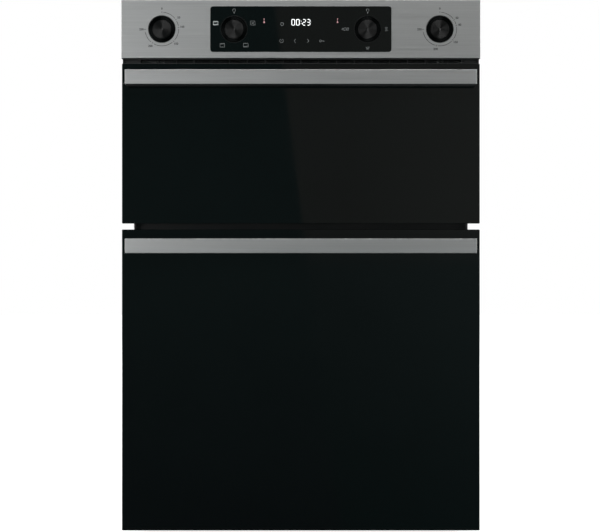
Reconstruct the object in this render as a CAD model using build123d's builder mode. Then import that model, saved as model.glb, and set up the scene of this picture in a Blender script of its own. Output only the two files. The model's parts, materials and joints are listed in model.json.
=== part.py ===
from build123d import *
import os
from math import cos, radians, sin

os.makedirs("parts", exist_ok=True)

# A built-under double wall oven: a small upper oven and a large lower fan oven behind two
# drop-down doors, below a control panel with four push-in knobs.
# Millimetres. X to the right seen from the front, Y towards the back, Z up.
# The origin is on the floor plane, midway across the width and the whole depth.

# ---------------------------------------------------------------- driving dimensions
FASCIA_WIDTH = 594.0       # control panel across the front
DOOR_WIDTH = 592.0         # outer glass of both doors
CASE_WIDTH = 558.0         # steel case, fits a 560 mm niche
CASE_DEPTH = 547.0         # behind the front edge of the cabinet
FRONT_STAND = 21.0         # glass and fascia stand this far in front of the cabinet
HANDLE_REACH = 24.0        # handle strip in front of the glass

RUNNER_HEIGHT = 10.0
LOWER_DOOR_HEIGHT = 498.1
DOOR_GAP = 9.9
UPPER_DOOR_HEIGHT = 264.5
VENT_GAP = 9.0
FASCIA_HEIGHT = 96.5

SHEET = 0.8                # case and enamelled oven sheet
FRAME_SHEET = 1.5          # front frame and brackets
OUTER_GLASS = 4.0
INNER_GLASS = 3.0

CAVITY_WIDTH = 480.0
CAVITY_DEPTH = 415.0
UPPER_CAVITY_HEIGHT = 180.0
LOWER_CAVITY_HEIGHT = 360.0

KNOB_X_OUTER = 230.0       # thermostats, on the steel
KNOB_X_INNER = 110.5       # function selectors, on the display glass
BEZEL_RADIUS = 22.8
KNOB_RADIUS = 21.6
KNOB_TRAVEL = 14.0         # how far a knob springs out when pushed
DISPLAY_WIDTH = 299.5
DISPLAY_HEIGHT = 75.5

HANDLE_LENGTH = 576.0
HANDLE_HEIGHT = 24.3
UPPER_HANDLE_DROP = 13.1   # top of the strip below the top of its door
LOWER_HANDLE_DROP = 15.4

PIVOT_RISE = 9.5           # hinge pin above the door's lower edge
PIVOT_DEPTH = 10.5         # hinge pin behind the front of the glass
CAVITY_RISE = 42.0         # oven floor above the hinge pin
HINGE_X = 261.0
HINGE_PIN_RADIUS = 3.0
RUNNING_GAP = 0.06         # radial play of a shaft or pin in its hole

# ---------------------------------------------------------------- depths (Y) and heights (Z)
HANDLE_Y = -(CASE_DEPTH + FRONT_STAND + HANDLE_REACH) / 2
FRONT_Y = HANDLE_Y + HANDLE_REACH
CABINET_Y = FRONT_Y + FRONT_STAND
PIVOT_Y = FRONT_Y + PIVOT_DEPTH
DOOR_BACK_Y = FRONT_Y + 36.0
FRAME_Y = CABINET_Y + 19.0
FRAME_BACK_Y = FRAME_Y + FRAME_SHEET
CAVITY_BACK_Y = FRAME_BACK_Y + CAVITY_DEPTH
BACK_Y = -HANDLE_Y
CASE_BACK_Y = BACK_Y - 16.0

LOWER_DOOR_Z = RUNNER_HEIGHT
UPPER_DOOR_Z = LOWER_DOOR_Z + LOWER_DOOR_HEIGHT + DOOR_GAP
VENT_Z = UPPER_DOOR_Z + UPPER_DOOR_HEIGHT
FASCIA_Z = VENT_Z + VENT_GAP
TOP_Z = FASCIA_Z + FASCIA_HEIGHT
CONTROL_Z = FASCIA_Z + FASCIA_HEIGHT / 2
CASE_Z = RUNNER_HEIGHT
CASE_TOP_Z = TOP_Z - 8.0
DECK_Z = VENT_Z - 2.5
LOWER_PIVOT_Z = LOWER_DOOR_Z + PIVOT_RISE
UPPER_PIVOT_Z = UPPER_DOOR_Z + PIVOT_RISE
LOWER_CAVITY_Z = LOWER_PIVOT_Z + CAVITY_RISE
UPPER_CAVITY_Z = UPPER_PIVOT_Z + CAVITY_RISE
LOWER_CAVITY_TOP_Z = LOWER_CAVITY_Z + LOWER_CAVITY_HEIGHT
UPPER_CAVITY_TOP_Z = UPPER_CAVITY_Z + UPPER_CAVITY_HEIGHT

CASE_X = CASE_WIDTH / 2
CAVITY_X = CAVITY_WIDTH / 2
FAN_Z = LOWER_CAVITY_Z + LOWER_CAVITY_HEIGHT / 2


# ---------------------------------------------------------------- small helpers
def block(x, y, z, mode=Mode.ADD):
    """Add or cut a box given its low and high limits along X, Y and Z."""
    with Locations(((x[0] + x[1]) / 2, (y[0] + y[1]) / 2, (z[0] + z[1]) / 2)):
        Box(x[1] - x[0], y[1] - y[0], z[1] - z[0], mode=mode)


def front_plane(y):
    """The plane at depth y that faces the front, with X to the right and Z up."""
    return Plane.XZ.offset(-y)


def bar_along_y(x, z, radius, y_low, y_high, mode=Mode.ADD):
    """Add or cut a round bar along Y."""
    with Locations(Location((x, (y_low + y_high) / 2, z), (90, 0, 0))):
        Cylinder(radius, y_high - y_low, mode=mode)


def bar_along_x(y, z, radius, x_low, x_high, mode=Mode.ADD):
    """Add or cut a round bar along X."""
    with Locations(Location(((x_low + x_high) / 2, y, z), (0, 90, 0))):
        Cylinder(radius, x_high - x_low, mode=mode)


def bar_along_z(x, y, radius, z_low, z_high, mode=Mode.ADD):
    """Add or cut an upright round bar."""
    with Locations((x, y, (z_low + z_high) / 2)):
        Cylinder(radius, z_high - z_low, mode=mode)


# ================================================================ the case
SLOT_LENGTH = 34.0
SLOT_WIDTH = 4.0
INSIDE_X = CASE_X - SHEET

with BuildPart() as base_panel:
    block((-INSIDE_X, INSIDE_X), (FRAME_Y, CASE_BACK_Y), (CASE_Z, CASE_Z + SHEET))
    with BuildSketch(Plane.XY.offset(CASE_Z)):
        with Locations((0, 170)):
            with GridLocations(55.0, 14.0, 7, 4):
                SlotOverall(SLOT_LENGTH, SLOT_WIDTH)
    extrude(amount=SHEET, mode=Mode.SUBTRACT)
base_panel.part.label = "base_panel"
export_step(base_panel.part, "parts/base_panel.step")

RUNNER_X = 200.0
RUNNER_WIDTH = 30.0
RUNNER_WALL = 2.5
with BuildPart() as base_runners:
    for side in (-1, 1):
        low_x = side * RUNNER_X - RUNNER_WIDTH / 2
        high_x = side * RUNNER_X + RUNNER_WIDTH / 2
        block((low_x, high_x), (-190, 240), (0, RUNNER_HEIGHT))
        block((low_x + RUNNER_WALL, high_x - RUNNER_WALL), (-190, 240), (0, RUNNER_HEIGHT - RUNNER_WALL),
              mode=Mode.SUBTRACT)
base_runners.part.label = "base_runners"
export_step(base_runners.part, "parts/base_runners.step")

SIDE_TOP_Z = CASE_TOP_Z - SHEET
with BuildPart() as side_panels:
    for low_x in (-CASE_X, INSIDE_X):
        block((low_x, low_x + SHEET), (CABINET_Y, CASE_BACK_Y), (CASE_Z, SIDE_TOP_Z))
        with BuildSketch(Plane.YZ.offset(low_x)):
            with Locations((190, SIDE_TOP_Z - 50)):
                with GridLocations(14.0, 46.0, 8, 1):
                    SlotOverall(SLOT_LENGTH, SLOT_WIDTH, rotation=90)
            with Locations((60, 120)):
                with GridLocations(44.0, 14.0, 4, 3):
                    SlotOverall(SLOT_LENGTH, SLOT_WIDTH)
        extrude(amount=SHEET, mode=Mode.SUBTRACT)
side_panels.part.label = "side_panels"
export_step(side_panels.part, "parts/side_panels.step")

with BuildPart() as top_panel:
    block((-CASE_X, CASE_X), (CABINET_Y, CASE_BACK_Y), (SIDE_TOP_Z, CASE_TOP_Z))
    with BuildSketch(Plane.XY.offset(SIDE_TOP_Z)):
        with Locations((0, 190)):
            with GridLocations(55.0, 14.0, 7, 5):
                SlotOverall(SLOT_LENGTH, SLOT_WIDTH)
    extrude(amount=SHEET, mode=Mode.SUBTRACT)
top_panel.part.label = "top_panel"
export_step(top_panel.part, "parts/top_panel.step")

# Terminal box and rear cover openings are cut in the rear panel.
TERMINAL_X = (150.0, 240.0)
TERMINAL_Z = (790.0, 860.0)
TERMINAL_Y = CASE_BACK_Y - 22.0
COVER_X = 170.0
COVER_HALF_HEIGHT = 140.0
COVER_FLANGE = 14.0
MOTOR_WINDOW_RADIUS = 70.0

with BuildPart() as rear_panel:
    block((-CASE_X, CASE_X), (CASE_BACK_Y, CASE_BACK_Y + SHEET), (CASE_Z, CASE_TOP_Z))
    block(TERMINAL_X, (CASE_BACK_Y - 1, CASE_BACK_Y + 2), TERMINAL_Z, mode=Mode.SUBTRACT)
    bar_along_y(0, FAN_Z, MOTOR_WINDOW_RADIUS, CASE_BACK_Y - 1, CASE_BACK_Y + 2, mode=Mode.SUBTRACT)
    with BuildSketch(front_plane(CASE_BACK_Y)):
        with Locations((0, 640)):
            with GridLocations(55.0, 14.0, 8, 6):
                SlotOverall(SLOT_LENGTH, SLOT_WIDTH)
    extrude(amount=-SHEET, mode=Mode.SUBTRACT)
rear_panel.part.label = "rear_panel"
export_step(rear_panel.part, "parts/rear_panel.step")

with BuildPart() as rear_cover:
    block((-COVER_X + COVER_FLANGE, COVER_X - COVER_FLANGE), (CASE_BACK_Y + SHEET, BACK_Y),
          (FAN_Z - COVER_HALF_HEIGHT + COVER_FLANGE, FAN_Z + COVER_HALF_HEIGHT - COVER_FLANGE))
    fillet(rear_cover.edges().filter_by(Axis.Y), 12.0)
    fillet(rear_cover.faces().sort_by(Axis.Y)[-1].edges(), 4.0)
    offset(amount=-SHEET, openings=rear_cover.faces().sort_by(Axis.Y)[0])
    with BuildSketch(front_plane(CASE_BACK_Y + SHEET)):
        with Locations((0, FAN_Z)):
            RectangleRounded(2 * COVER_X, 2 * COVER_HALF_HEIGHT, 8.0)
            RectangleRounded(2 * (COVER_X - COVER_FLANGE - 0.5),
                             2 * (COVER_HALF_HEIGHT - COVER_FLANGE - 0.5), 11.5, mode=Mode.SUBTRACT)
    extrude(amount=-SHEET)
    with BuildSketch(front_plane(BACK_Y - SHEET)):
        with Locations((0, FAN_Z)):
            with GridLocations(50.0, 14.0, 5, 12):
                SlotOverall(SLOT_LENGTH, SLOT_WIDTH)
    extrude(amount=-SHEET, mode=Mode.SUBTRACT)
rear_cover.part.label = "rear_cover"
export_step(rear_cover.part, "parts/rear_cover.step")

# Front frame: a plate with one opening for each oven and a slot for each hinge arm.
FRAME_X = INSIDE_X - 0.5
CAVITY_CORNER = 14.0
ARM_HALF_WIDTH = 2.8
ARM_HALF_HEIGHT = 4.5

with BuildPart() as front_frame:
    block((-FRAME_X, FRAME_X), (FRAME_Y, FRAME_BACK_Y), (CASE_Z + SHEET, DECK_Z))
    with BuildSketch(front_plane(FRAME_Y)):
        with Locations((0, FAN_Z)):
            RectangleRounded(CAVITY_WIDTH, LOWER_CAVITY_HEIGHT, CAVITY_CORNER)
        with Locations((0, (UPPER_CAVITY_Z + UPPER_CAVITY_TOP_Z) / 2)):
            RectangleRounded(CAVITY_WIDTH, UPPER_CAVITY_HEIGHT, CAVITY_CORNER)
        for pivot_z in (LOWER_PIVOT_Z, UPPER_PIVOT_Z):
            for side in (-1, 1):
                with Locations((side * HINGE_X, pivot_z)):
                    Rectangle(2 * ARM_HALF_WIDTH + 2, 2 * ARM_HALF_HEIGHT + 2)
    extrude(amount=-FRAME_SHEET, mode=Mode.SUBTRACT)
front_frame.part.label = "front_frame"
export_step(front_frame.part, "parts/front_frame.step")

# Angle brackets on the side panels: their flanges rest on the cabinet's front edges.
FLANGE_X = 294.0
STOP_PAD = 0.3             # joggle that keeps the stop face clear of the side panel
FIXING_X = 287.0
FIXING_RADIUS = 2.25
FIXING_Z = (150.0, 750.0)
BRACKET_SPANS = ((60.0, 480.0), (545.0, 775.0))

with BuildPart() as mounting_brackets:
    for side in (-1, 1):
        for span in BRACKET_SPANS:
            leg = sorted((side * (INSIDE_X - FRAME_SHEET), side * INSIDE_X))
            flange = sorted((side * (INSIDE_X - FRAME_SHEET), side * FLANGE_X))
            block(leg, (CABINET_Y, CABINET_Y + 16), span)
            pad = sorted((side * (CASE_X + 0.4), side * FLANGE_X))
            block(flange, (CABINET_Y - FRAME_SHEET, CABINET_Y), span)
            block(pad, (CABINET_Y, CABINET_Y + STOP_PAD), span)
    for side in (-1, 1):
        for height in FIXING_Z:
            bar_along_y(side * FIXING_X, height, FIXING_RADIUS, CABINET_Y - 3, CABINET_Y + 1,
                        mode=Mode.SUBTRACT)
mounting_brackets.part.label = "mounting_brackets"
export_step(mounting_brackets.part, "parts/mounting_brackets.step")

with BuildPart() as deck_plate:
    block((-INSIDE_X, INSIDE_X), (FRAME_Y, CASE_BACK_Y), (DECK_Z, DECK_Z + SHEET))
deck_plate.part.label = "deck_plate"
export_step(deck_plate.part, "parts/deck_plate.step")

# ================================================================ the two ovens
FLANGE_WIDTH = 9.0
LAMP_RADIUS = 21.0
SHAFT_HOLE_RADIUS = 9.0
LOWER_LAMP = (185.0, LOWER_CAVITY_TOP_Z - 26.0)
UPPER_LAMP = (185.0, UPPER_CAVITY_TOP_Z - 45.0)

for name, low_z, height, lamp in (("lower_cavity", LOWER_CAVITY_Z, LOWER_CAVITY_HEIGHT, LOWER_LAMP),
                                  ("upper_cavity", UPPER_CAVITY_Z, UPPER_CAVITY_HEIGHT, UPPER_LAMP)):
    middle_z = low_z + height / 2
    with BuildPart() as cavity:
        with BuildSketch(front_plane(FRAME_BACK_Y)):
            with Locations((0, middle_z)):
                RectangleRounded(CAVITY_WIDTH + 2 * FLANGE_WIDTH, height + 2 * FLANGE_WIDTH, 18.0)
        extrude(amount=-SHEET)
        with BuildSketch(front_plane(FRAME_BACK_Y)):
            with Locations((0, middle_z)):
                RectangleRounded(CAVITY_WIDTH + 2 * SHEET, height + 2 * SHEET, CAVITY_CORNER + SHEET)
        extrude(amount=-(CAVITY_DEPTH + SHEET))
        with BuildSketch(front_plane(FRAME_BACK_Y)):
            with Locations((0, middle_z)):
                RectangleRounded(CAVITY_WIDTH, height, CAVITY_CORNER)
        extrude(amount=-CAVITY_DEPTH, mode=Mode.SUBTRACT)
        bar_along_y(lamp[0], lamp[1], LAMP_RADIUS + 0.3, CAVITY_BACK_Y - 2, CAVITY_BACK_Y + 3,
                    mode=Mode.SUBTRACT)
        if name == "lower_cavity":
            bar_along_y(0, FAN_Z, SHAFT_HOLE_RADIUS, CAVITY_BACK_Y - 2, CAVITY_BACK_Y + 3,
                        mode=Mode.SUBTRACT)
    cavity.part.label = name
    export_step(cavity.part, f"parts/{name}.step")

# Glass wool: loose slabs round both ovens.
SLAB_Y = (FRAME_BACK_Y + 28.0, CAVITY_BACK_Y)
SLAB_INNER_X = CAVITY_X + 3.0
MAT = 24.0                 # thickness of the slabs
MAT_GAP = 3.0
SLAB_OUTER_X = SLAB_INNER_X + MAT
REAR_SLAB_Y = (CAVITY_BACK_Y + MAT_GAP, CAVITY_BACK_Y + MAT_GAP + MAT)
MOTOR_CLEAR_X = 62.0

with BuildPart() as insulation:
    for low_z, high_z in ((LOWER_CAVITY_Z, LOWER_CAVITY_TOP_Z), (UPPER_CAVITY_Z, UPPER_CAVITY_TOP_Z)):
        for side in (-1, 1):
            side_x = sorted((side * SLAB_INNER_X, side * SLAB_OUTER_X))
            block(side_x, SLAB_Y, (low_z, high_z))
            rear_x = sorted((side * MOTOR_CLEAR_X, side * 150.0))
            block(rear_x, REAR_SLAB_Y, (low_z, high_z))
        block((-SLAB_OUTER_X, SLAB_OUTER_X), SLAB_Y, (low_z - 12.0 - MAT, low_z - 12.0))
    for top_z in (LOWER_CAVITY_TOP_Z, UPPER_CAVITY_TOP_Z):
        block((-SLAB_OUTER_X, SLAB_OUTER_X), SLAB_Y, (top_z + MAT_GAP, top_z + MAT_GAP + MAT))
insulation.part.label = "insulation"
export_step(insulation.part, "parts/insulation.step")

GASKET_WIDTH = 10.0
GASKET_THICKNESS = 3.7
with BuildPart() as door_gaskets:
    for low_z, high_z in ((LOWER_CAVITY_Z, LOWER_CAVITY_TOP_Z), (UPPER_CAVITY_Z, UPPER_CAVITY_TOP_Z)):
        with BuildSketch(front_plane(FRAME_Y - GASKET_THICKNESS)):
            with Locations((0, (low_z + high_z) / 2)):
                RectangleRounded(CAVITY_WIDTH + 2 + 2 * GASKET_WIDTH,
                                 high_z - low_z + 2 + 2 * GASKET_WIDTH, 24.0)
                RectangleRounded(CAVITY_WIDTH + 2, high_z - low_z + 2, 14.0, mode=Mode.SUBTRACT)
        extrude(amount=-GASKET_THICKNESS)
    fillet(door_gaskets.faces().filter_by(Plane.XZ).group_by(Axis.Y)[0].edges(), 1.6)
door_gaskets.part.label = "door_gaskets"
export_step(door_gaskets.part, "parts/door_gaskets.step")

# Tubular heating elements.
ELEMENT_RADIUS = 3.25
GRILL_Z = UPPER_CAVITY_TOP_Z - 16.0
GRILL_BACK_Y = CAVITY_BACK_Y - 1.0
GRILL_FRONT_Y = -170.0
GRILL_PITCH = 60.0
GRILL_RUNS = 6

grill_points = [(-GRILL_PITCH * (GRILL_RUNS - 1) / 2, GRILL_BACK_Y)]
for run in range(GRILL_RUNS):
    run_x = GRILL_PITCH * (run - (GRILL_RUNS - 1) / 2)
    if run > 0:
        grill_points.append((run_x, 150.0 if run % 2 == 0 else GRILL_FRONT_Y))
    if run < GRILL_RUNS - 1:
        grill_points.append((run_x, GRILL_FRONT_Y if run % 2 == 0 else 150.0))
grill_points.append((GRILL_PITCH * (GRILL_RUNS - 1) / 2, GRILL_BACK_Y))

with BuildPart() as grill_element:
    with BuildLine(Plane.XY.offset(GRILL_Z)) as grill_line:
        FilletPolyline(*grill_points, radius=20.0)
    with BuildSketch(Plane(origin=grill_line.line @ 0, z_dir=grill_line.line % 0)):
        Circle(ELEMENT_RADIUS)
    sweep()
    for hanger_y in (-120.0, 60.0):
        block((-170.0, 170.0), (hanger_y - 4, hanger_y + 4), (GRILL_Z + 2.0, GRILL_Z + 5.0))
        for hanger_x in (-120.0, 120.0):
            block((hanger_x - 4, hanger_x + 4), (hanger_y - 4, hanger_y + 4),
                  (GRILL_Z + 2.0, UPPER_CAVITY_TOP_Z))
grill_element.part.label = "grill_element"
export_step(grill_element.part, "parts/grill_element.step")

RING_Y = CAVITY_BACK_Y - 22.0
RING_RADIUS = 96.0
RING_TAIL_X = 14.0
with BuildPart() as ring_element:
    with Locations(Location((0, RING_Y, FAN_Z), (90, 0, 0))):
        Torus(RING_RADIUS, ELEMENT_RADIUS)
    with Locations(Location((0, RING_Y + 7.5, FAN_Z), (90, 0, 0))):
        Torus(RING_RADIUS + 4.0, ELEMENT_RADIUS)
    for side in (-1, 1):
        bar_along_y(side * RING_TAIL_X, FAN_Z + RING_RADIUS - 1.0, ELEMENT_RADIUS,
                    RING_Y, CAVITY_BACK_Y - 0.5)
ring_element.part.label = "ring_element"
export_step(ring_element.part, "parts/ring_element.step")

with BuildPart() as floor_elements:
    for floor_z in (LOWER_CAVITY_Z, UPPER_CAVITY_Z):
        element_z = floor_z - SHEET - 5.0
        with BuildLine(Plane.XY.offset(element_z)) as loop_line:
            FilletPolyline((-60, 180), (-60, 100), (-180, 100), (-180, -150), (180, -150),
                           (180, 100), (60, 100), (60, 180), radius=28.0)
        with BuildSketch(Plane(origin=loop_line.line @ 0, z_dir=loop_line.line % 0)) as loop_section:
            Circle(ELEMENT_RADIUS)
        sweep(sections=loop_section.sketch, path=loop_line.line)
floor_elements.part.label = "floor_elements"
export_step(floor_elements.part, "parts/floor_elements.step")

# Fan, its motor and the perforated wall in front of it.
BAFFLE_Y = CAVITY_BACK_Y - 42.0
BAFFLE_X = 195.0
BAFFLE_HALF_HEIGHT = 130.0
with BuildPart() as fan_baffle:
    block((-BAFFLE_X, BAFFLE_X), (BAFFLE_Y, BAFFLE_Y + SHEET),
          (FAN_Z - BAFFLE_HALF_HEIGHT, FAN_Z + BAFFLE_HALF_HEIGHT))
    with BuildSketch(front_plane(BAFFLE_Y)):
        with Locations((0, FAN_Z)):
            for ring_radius, ring_count in ((18.0, 6), (34.0, 12), (50.0, 18), (66.0, 24)):
                with PolarLocations(ring_radius, ring_count):
                    SlotOverall(11.0, 5.0)
        for column_x in (-BAFFLE_X + 24.0, BAFFLE_X - 24.0):
            with Locations((column_x, FAN_Z)):
                with GridLocations(1.0, 34.0, 1, 7):
                    SlotOverall(26.0, 7.0, rotation=90)
    extrude(amount=-SHEET, mode=Mode.SUBTRACT)
    for side_x in (-1, 1):
        for side_z in (-1, 1):
            bar_along_y(side_x * (BAFFLE_X - 10), FAN_Z + side_z * (BAFFLE_HALF_HEIGHT - 10), 5.0,
                        BAFFLE_Y + SHEET, CAVITY_BACK_Y)
fan_baffle.part.label = "fan_baffle"
export_step(fan_baffle.part, "parts/fan_baffle.step")

FAN_SHAFT_RADIUS = 4.0
FAN_BLADES = 10
FAN_DISC_Y = CAVITY_BACK_Y - 10.0
with BuildPart() as convection_fan:
    bar_along_y(0, FAN_Z, FAN_SHAFT_RADIUS, FAN_DISC_Y - 20.0, CAVITY_BACK_Y + 45.0)
    bar_along_y(0, FAN_Z, 78.0, FAN_DISC_Y - 1.2, FAN_DISC_Y)
    bar_along_y(0, FAN_Z, 11.0, FAN_DISC_Y - 14.0, FAN_DISC_Y)
    for blade in range(FAN_BLADES):
        angle = 360.0 * blade / FAN_BLADES
        middle = 57.0
        place = (middle * cos(radians(angle)), FAN_DISC_Y - 10.0, FAN_Z + middle * sin(radians(angle)))
        with Locations(Location(place, (0, -angle - 25.0, 0))):
            Box(36.0, 20.0, 1.5)
convection_fan.part.label = "convection_fan"
export_step(convection_fan.part, "parts/convection_fan.step")

MOTOR_Y = (CAVITY_BACK_Y + SHEET, CAVITY_BACK_Y + 74.0)
with BuildPart() as convection_motor:
    bar_along_y(0, FAN_Z, 55.0, MOTOR_Y[0], MOTOR_Y[0] + 2.0)
    bar_along_y(0, FAN_Z, 16.0, MOTOR_Y[0], MOTOR_Y[1] - 6.0)
    block((-34, 34), (MOTOR_Y[0] + 22, MOTOR_Y[0] + 48), (FAN_Z - 30, FAN_Z + 30))
    for side in (-1, 1):
        block(sorted((side * 26, side * 34)), (MOTOR_Y[0], MOTOR_Y[0] + 30), (FAN_Z - 5, FAN_Z + 5))
    block((-22, 22), (MOTOR_Y[0] + 16, MOTOR_Y[0] + 54), (FAN_Z - 58, FAN_Z - 30))
    bar_along_y(0, FAN_Z, FAN_SHAFT_RADIUS + RUNNING_GAP, MOTOR_Y[0] - 1, CAVITY_BACK_Y + 47.0,
                mode=Mode.SUBTRACT)
convection_motor.part.label = "convection_motor"
export_step(convection_motor.part, "parts/convection_motor.step")

# Lamps in the rear walls: a holder through the wall and a domed glass inside.
with BuildPart() as lamp_holders:
    for lamp in (LOWER_LAMP, UPPER_LAMP):
        bar_along_y(lamp[0], lamp[1], LAMP_RADIUS, CAVITY_BACK_Y - 2.0, CAVITY_BACK_Y + 24.0)
        bar_along_y(lamp[0], lamp[1], 12.0, CAVITY_BACK_Y + 24.0, CAVITY_BACK_Y + 40.0)
        bar_along_y(lamp[0], lamp[1], 24.0, CAVITY_BACK_Y - 2.0, CAVITY_BACK_Y)
        bar_along_y(lamp[0], lamp[1], 16.0, CAVITY_BACK_Y - 3.0, CAVITY_BACK_Y + 18.0, mode=Mode.SUBTRACT)
lamp_holders.part.label = "lamp_holders"
export_step(lamp_holders.part, "parts/lamp_holders.step")

with BuildPart() as lamp_lenses:
    for lamp in (LOWER_LAMP, UPPER_LAMP):
        with Locations((lamp[0], CAVITY_BACK_Y - 2.0, lamp[1])):
            Sphere(22.0)
            Sphere(19.5, mode=Mode.SUBTRACT)
        block((lamp[0] - 30, lamp[0] + 30), (CAVITY_BACK_Y - 2.0, CAVITY_BACK_Y + 30),
              (lamp[1] - 30, lamp[1] + 30), mode=Mode.SUBTRACT)
lamp_lenses.part.label = "lamp_lenses"
export_step(lamp_lenses.part, "parts/lamp_lenses.step")

# Wire ladders on the side walls, with a pair of rails for each shelf level.
RAIL_RADIUS = 2.0
POST_RADIUS = 2.5
LADDER_X = CAVITY_X - POST_RADIUS - 0.5
RAIL_X = LADDER_X - POST_RADIUS - RAIL_RADIUS + 1.0
RAIL_Y = (FRAME_BACK_Y + 30.0, BAFFLE_Y - 8.0)
SHELF_GAP = 12.0           # between the two rails of a level
LOWER_LEVELS = [LOWER_CAVITY_Z + 40.0 + 56.0 * level for level in range(5)]
UPPER_LEVELS = [UPPER_CAVITY_Z + 34.0 + 56.0 * level for level in range(2)]

with BuildPart() as shelf_supports:
    for levels, low_z, high_z in ((LOWER_LEVELS, LOWER_CAVITY_Z + 18.0, LOWER_CAVITY_TOP_Z - 30.0),
                                  (UPPER_LEVELS, UPPER_CAVITY_Z + 18.0, UPPER_CAVITY_TOP_Z - 40.0)):
        for side in (-1, 1):
            for post_y in (RAIL_Y[0] + 30.0, RAIL_Y[1] - 30.0):
                bar_along_z(side * LADDER_X, post_y, POST_RADIUS, low_z, high_z)
            for level_z in levels:
                for rail_z in (level_z, level_z + SHELF_GAP):
                    bar_along_y(side * RAIL_X, rail_z, RAIL_RADIUS, RAIL_Y[0], RAIL_Y[1])
shelf_supports.part.label = "shelf_supports"
export_step(shelf_supports.part, "parts/shelf_supports.step")

SHELF_RADIUS = 3.0
SHELF_X = LADDER_X - POST_RADIUS - SHELF_RADIUS - 0.3
SHELF_Y = (RAIL_Y[0] + 6.0, RAIL_Y[1] - 8.0)
SHELF_WIRE_RADIUS = 1.4
SHELF_WIRES = 19
with BuildPart() as wire_shelves:
    for shelf_z in (LOWER_LEVELS[2] + 5.1, UPPER_LEVELS[0] + 5.1):
        with BuildLine(Plane.XY.offset(shelf_z)) as rim_line:
            FilletPolyline((SHELF_X, SHELF_Y[0]), (SHELF_X, SHELF_Y[1]), (-SHELF_X, SHELF_Y[1]),
                           (-SHELF_X, SHELF_Y[0]), radius=14.0, close=True)
        with BuildSketch(Plane(origin=rim_line.line @ 0, z_dir=rim_line.line % 0)) as rim_section:
            Circle(SHELF_RADIUS)
        sweep(sections=rim_section.sketch, path=rim_line.line)
        bar_along_x((SHELF_Y[0] + SHELF_Y[1]) / 2, shelf_z, SHELF_RADIUS - 0.5, -SHELF_X, SHELF_X)
        for wire in range(SHELF_WIRES):
            wire_x = (wire - (SHELF_WIRES - 1) / 2) * 2 * SHELF_X / (SHELF_WIRES + 1)
            bar_along_y(wire_x + 0.7, shelf_z + 2.6, SHELF_WIRE_RADIUS, SHELF_Y[0], SHELF_Y[1])
wire_shelves.part.label = "wire_shelves"
export_step(wire_shelves.part, "parts/wire_shelves.step")

PAN_DEPTH = 34.0
PAN_SHEET = 1.2
PAN_RIM_Z = LOWER_LEVELS[0] + RAIL_RADIUS + 0.1 + PAN_SHEET
PAN_RIM_X = LADDER_X - POST_RADIUS - 0.5
PAN_X = RAIL_X - RAIL_RADIUS - 6.0
with BuildPart() as grill_pan:
    block((-PAN_X, PAN_X), (SHELF_Y[0] + 12, SHELF_Y[1] - 12), (PAN_RIM_Z - PAN_DEPTH, PAN_RIM_Z))
    fillet(grill_pan.edges().filter_by(Axis.Z), 12.0)
    fillet(grill_pan.faces().sort_by(Axis.Z)[0].edges(), 6.0)
    offset(amount=-PAN_SHEET, openings=grill_pan.faces().sort_by(Axis.Z)[-1])
    with BuildSketch(Plane.XY.offset(PAN_RIM_Z - PAN_SHEET)):
        with Locations((0, (SHELF_Y[0] + SHELF_Y[1]) / 2)):
            RectangleRounded(2 * PAN_RIM_X, SHELF_Y[1] - SHELF_Y[0], 12.0)
            RectangleRounded(2 * PAN_X - 0.6, SHELF_Y[1] - SHELF_Y[0] - 24.6, 11.7, mode=Mode.SUBTRACT)
    extrude(amount=PAN_SHEET)
grill_pan.part.label = "grill_pan"
export_step(grill_pan.part, "parts/grill_pan.step")

# ================================================================ cooling air and wiring
BLOWER_Y = 150.0
BLOWER_RADIUS = 78.0
BLOWER_Z = (DECK_Z + SHEET, DECK_Z + 53.0)
with BuildPart() as cooling_fan_housing:
    bar_along_z(0, BLOWER_Y, BLOWER_RADIUS, *BLOWER_Z)
    block((-70, 70), (BLOWER_Y - 100, BLOWER_Y), BLOWER_Z)
    bar_along_z(0, BLOWER_Y, BLOWER_RADIUS - 1.5, BLOWER_Z[0] + 1.5, BLOWER_Z[1] - 1.5, mode=Mode.SUBTRACT)
    block((-68.5, 68.5), (BLOWER_Y - 98.5, BLOWER_Y), (BLOWER_Z[0] + 1.5, BLOWER_Z[1] - 1.5),
          mode=Mode.SUBTRACT)
    block((-68.5, 68.5), (BLOWER_Y - 101, BLOWER_Y - 98), (BLOWER_Z[0] + 1.5, FASCIA_Z - 1.0),
          mode=Mode.SUBTRACT)
    bar_along_z(0, BLOWER_Y, 46.0, BLOWER_Z[1] - 3, BLOWER_Z[1] + 1, mode=Mode.SUBTRACT)
cooling_fan_housing.part.label = "cooling_fan_housing"
export_step(cooling_fan_housing.part, "parts/cooling_fan_housing.step")

ROTOR_BLADES = 20
ROTOR_Z = (BLOWER_Z[0] + 5.0, BLOWER_Z[1] - 7.0)
with BuildPart() as cooling_fan_rotor:
    bar_along_z(0, BLOWER_Y, 58.0, ROTOR_Z[0], ROTOR_Z[0] + 1.5)
    bar_along_z(0, BLOWER_Y, 9.0, ROTOR_Z[0], ROTOR_Z[1] - 8.0)
    bar_along_z(0, BLOWER_Y, 3.0, ROTOR_Z[0], BLOWER_Z[1] + 14.0)
    for blade in range(ROTOR_BLADES):
        angle = 360.0 * blade / ROTOR_BLADES
        place = (51.0 * cos(radians(angle)), BLOWER_Y + 51.0 * sin(radians(angle)),
                 (ROTOR_Z[0] + ROTOR_Z[1]) / 2)
        with Locations(Location(place, (0, 0, angle + 40.0))):
            Box(13.0, 1.2, ROTOR_Z[1] - ROTOR_Z[0])
cooling_fan_rotor.part.label = "cooling_fan_rotor"
export_step(cooling_fan_rotor.part, "parts/cooling_fan_rotor.step")

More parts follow.
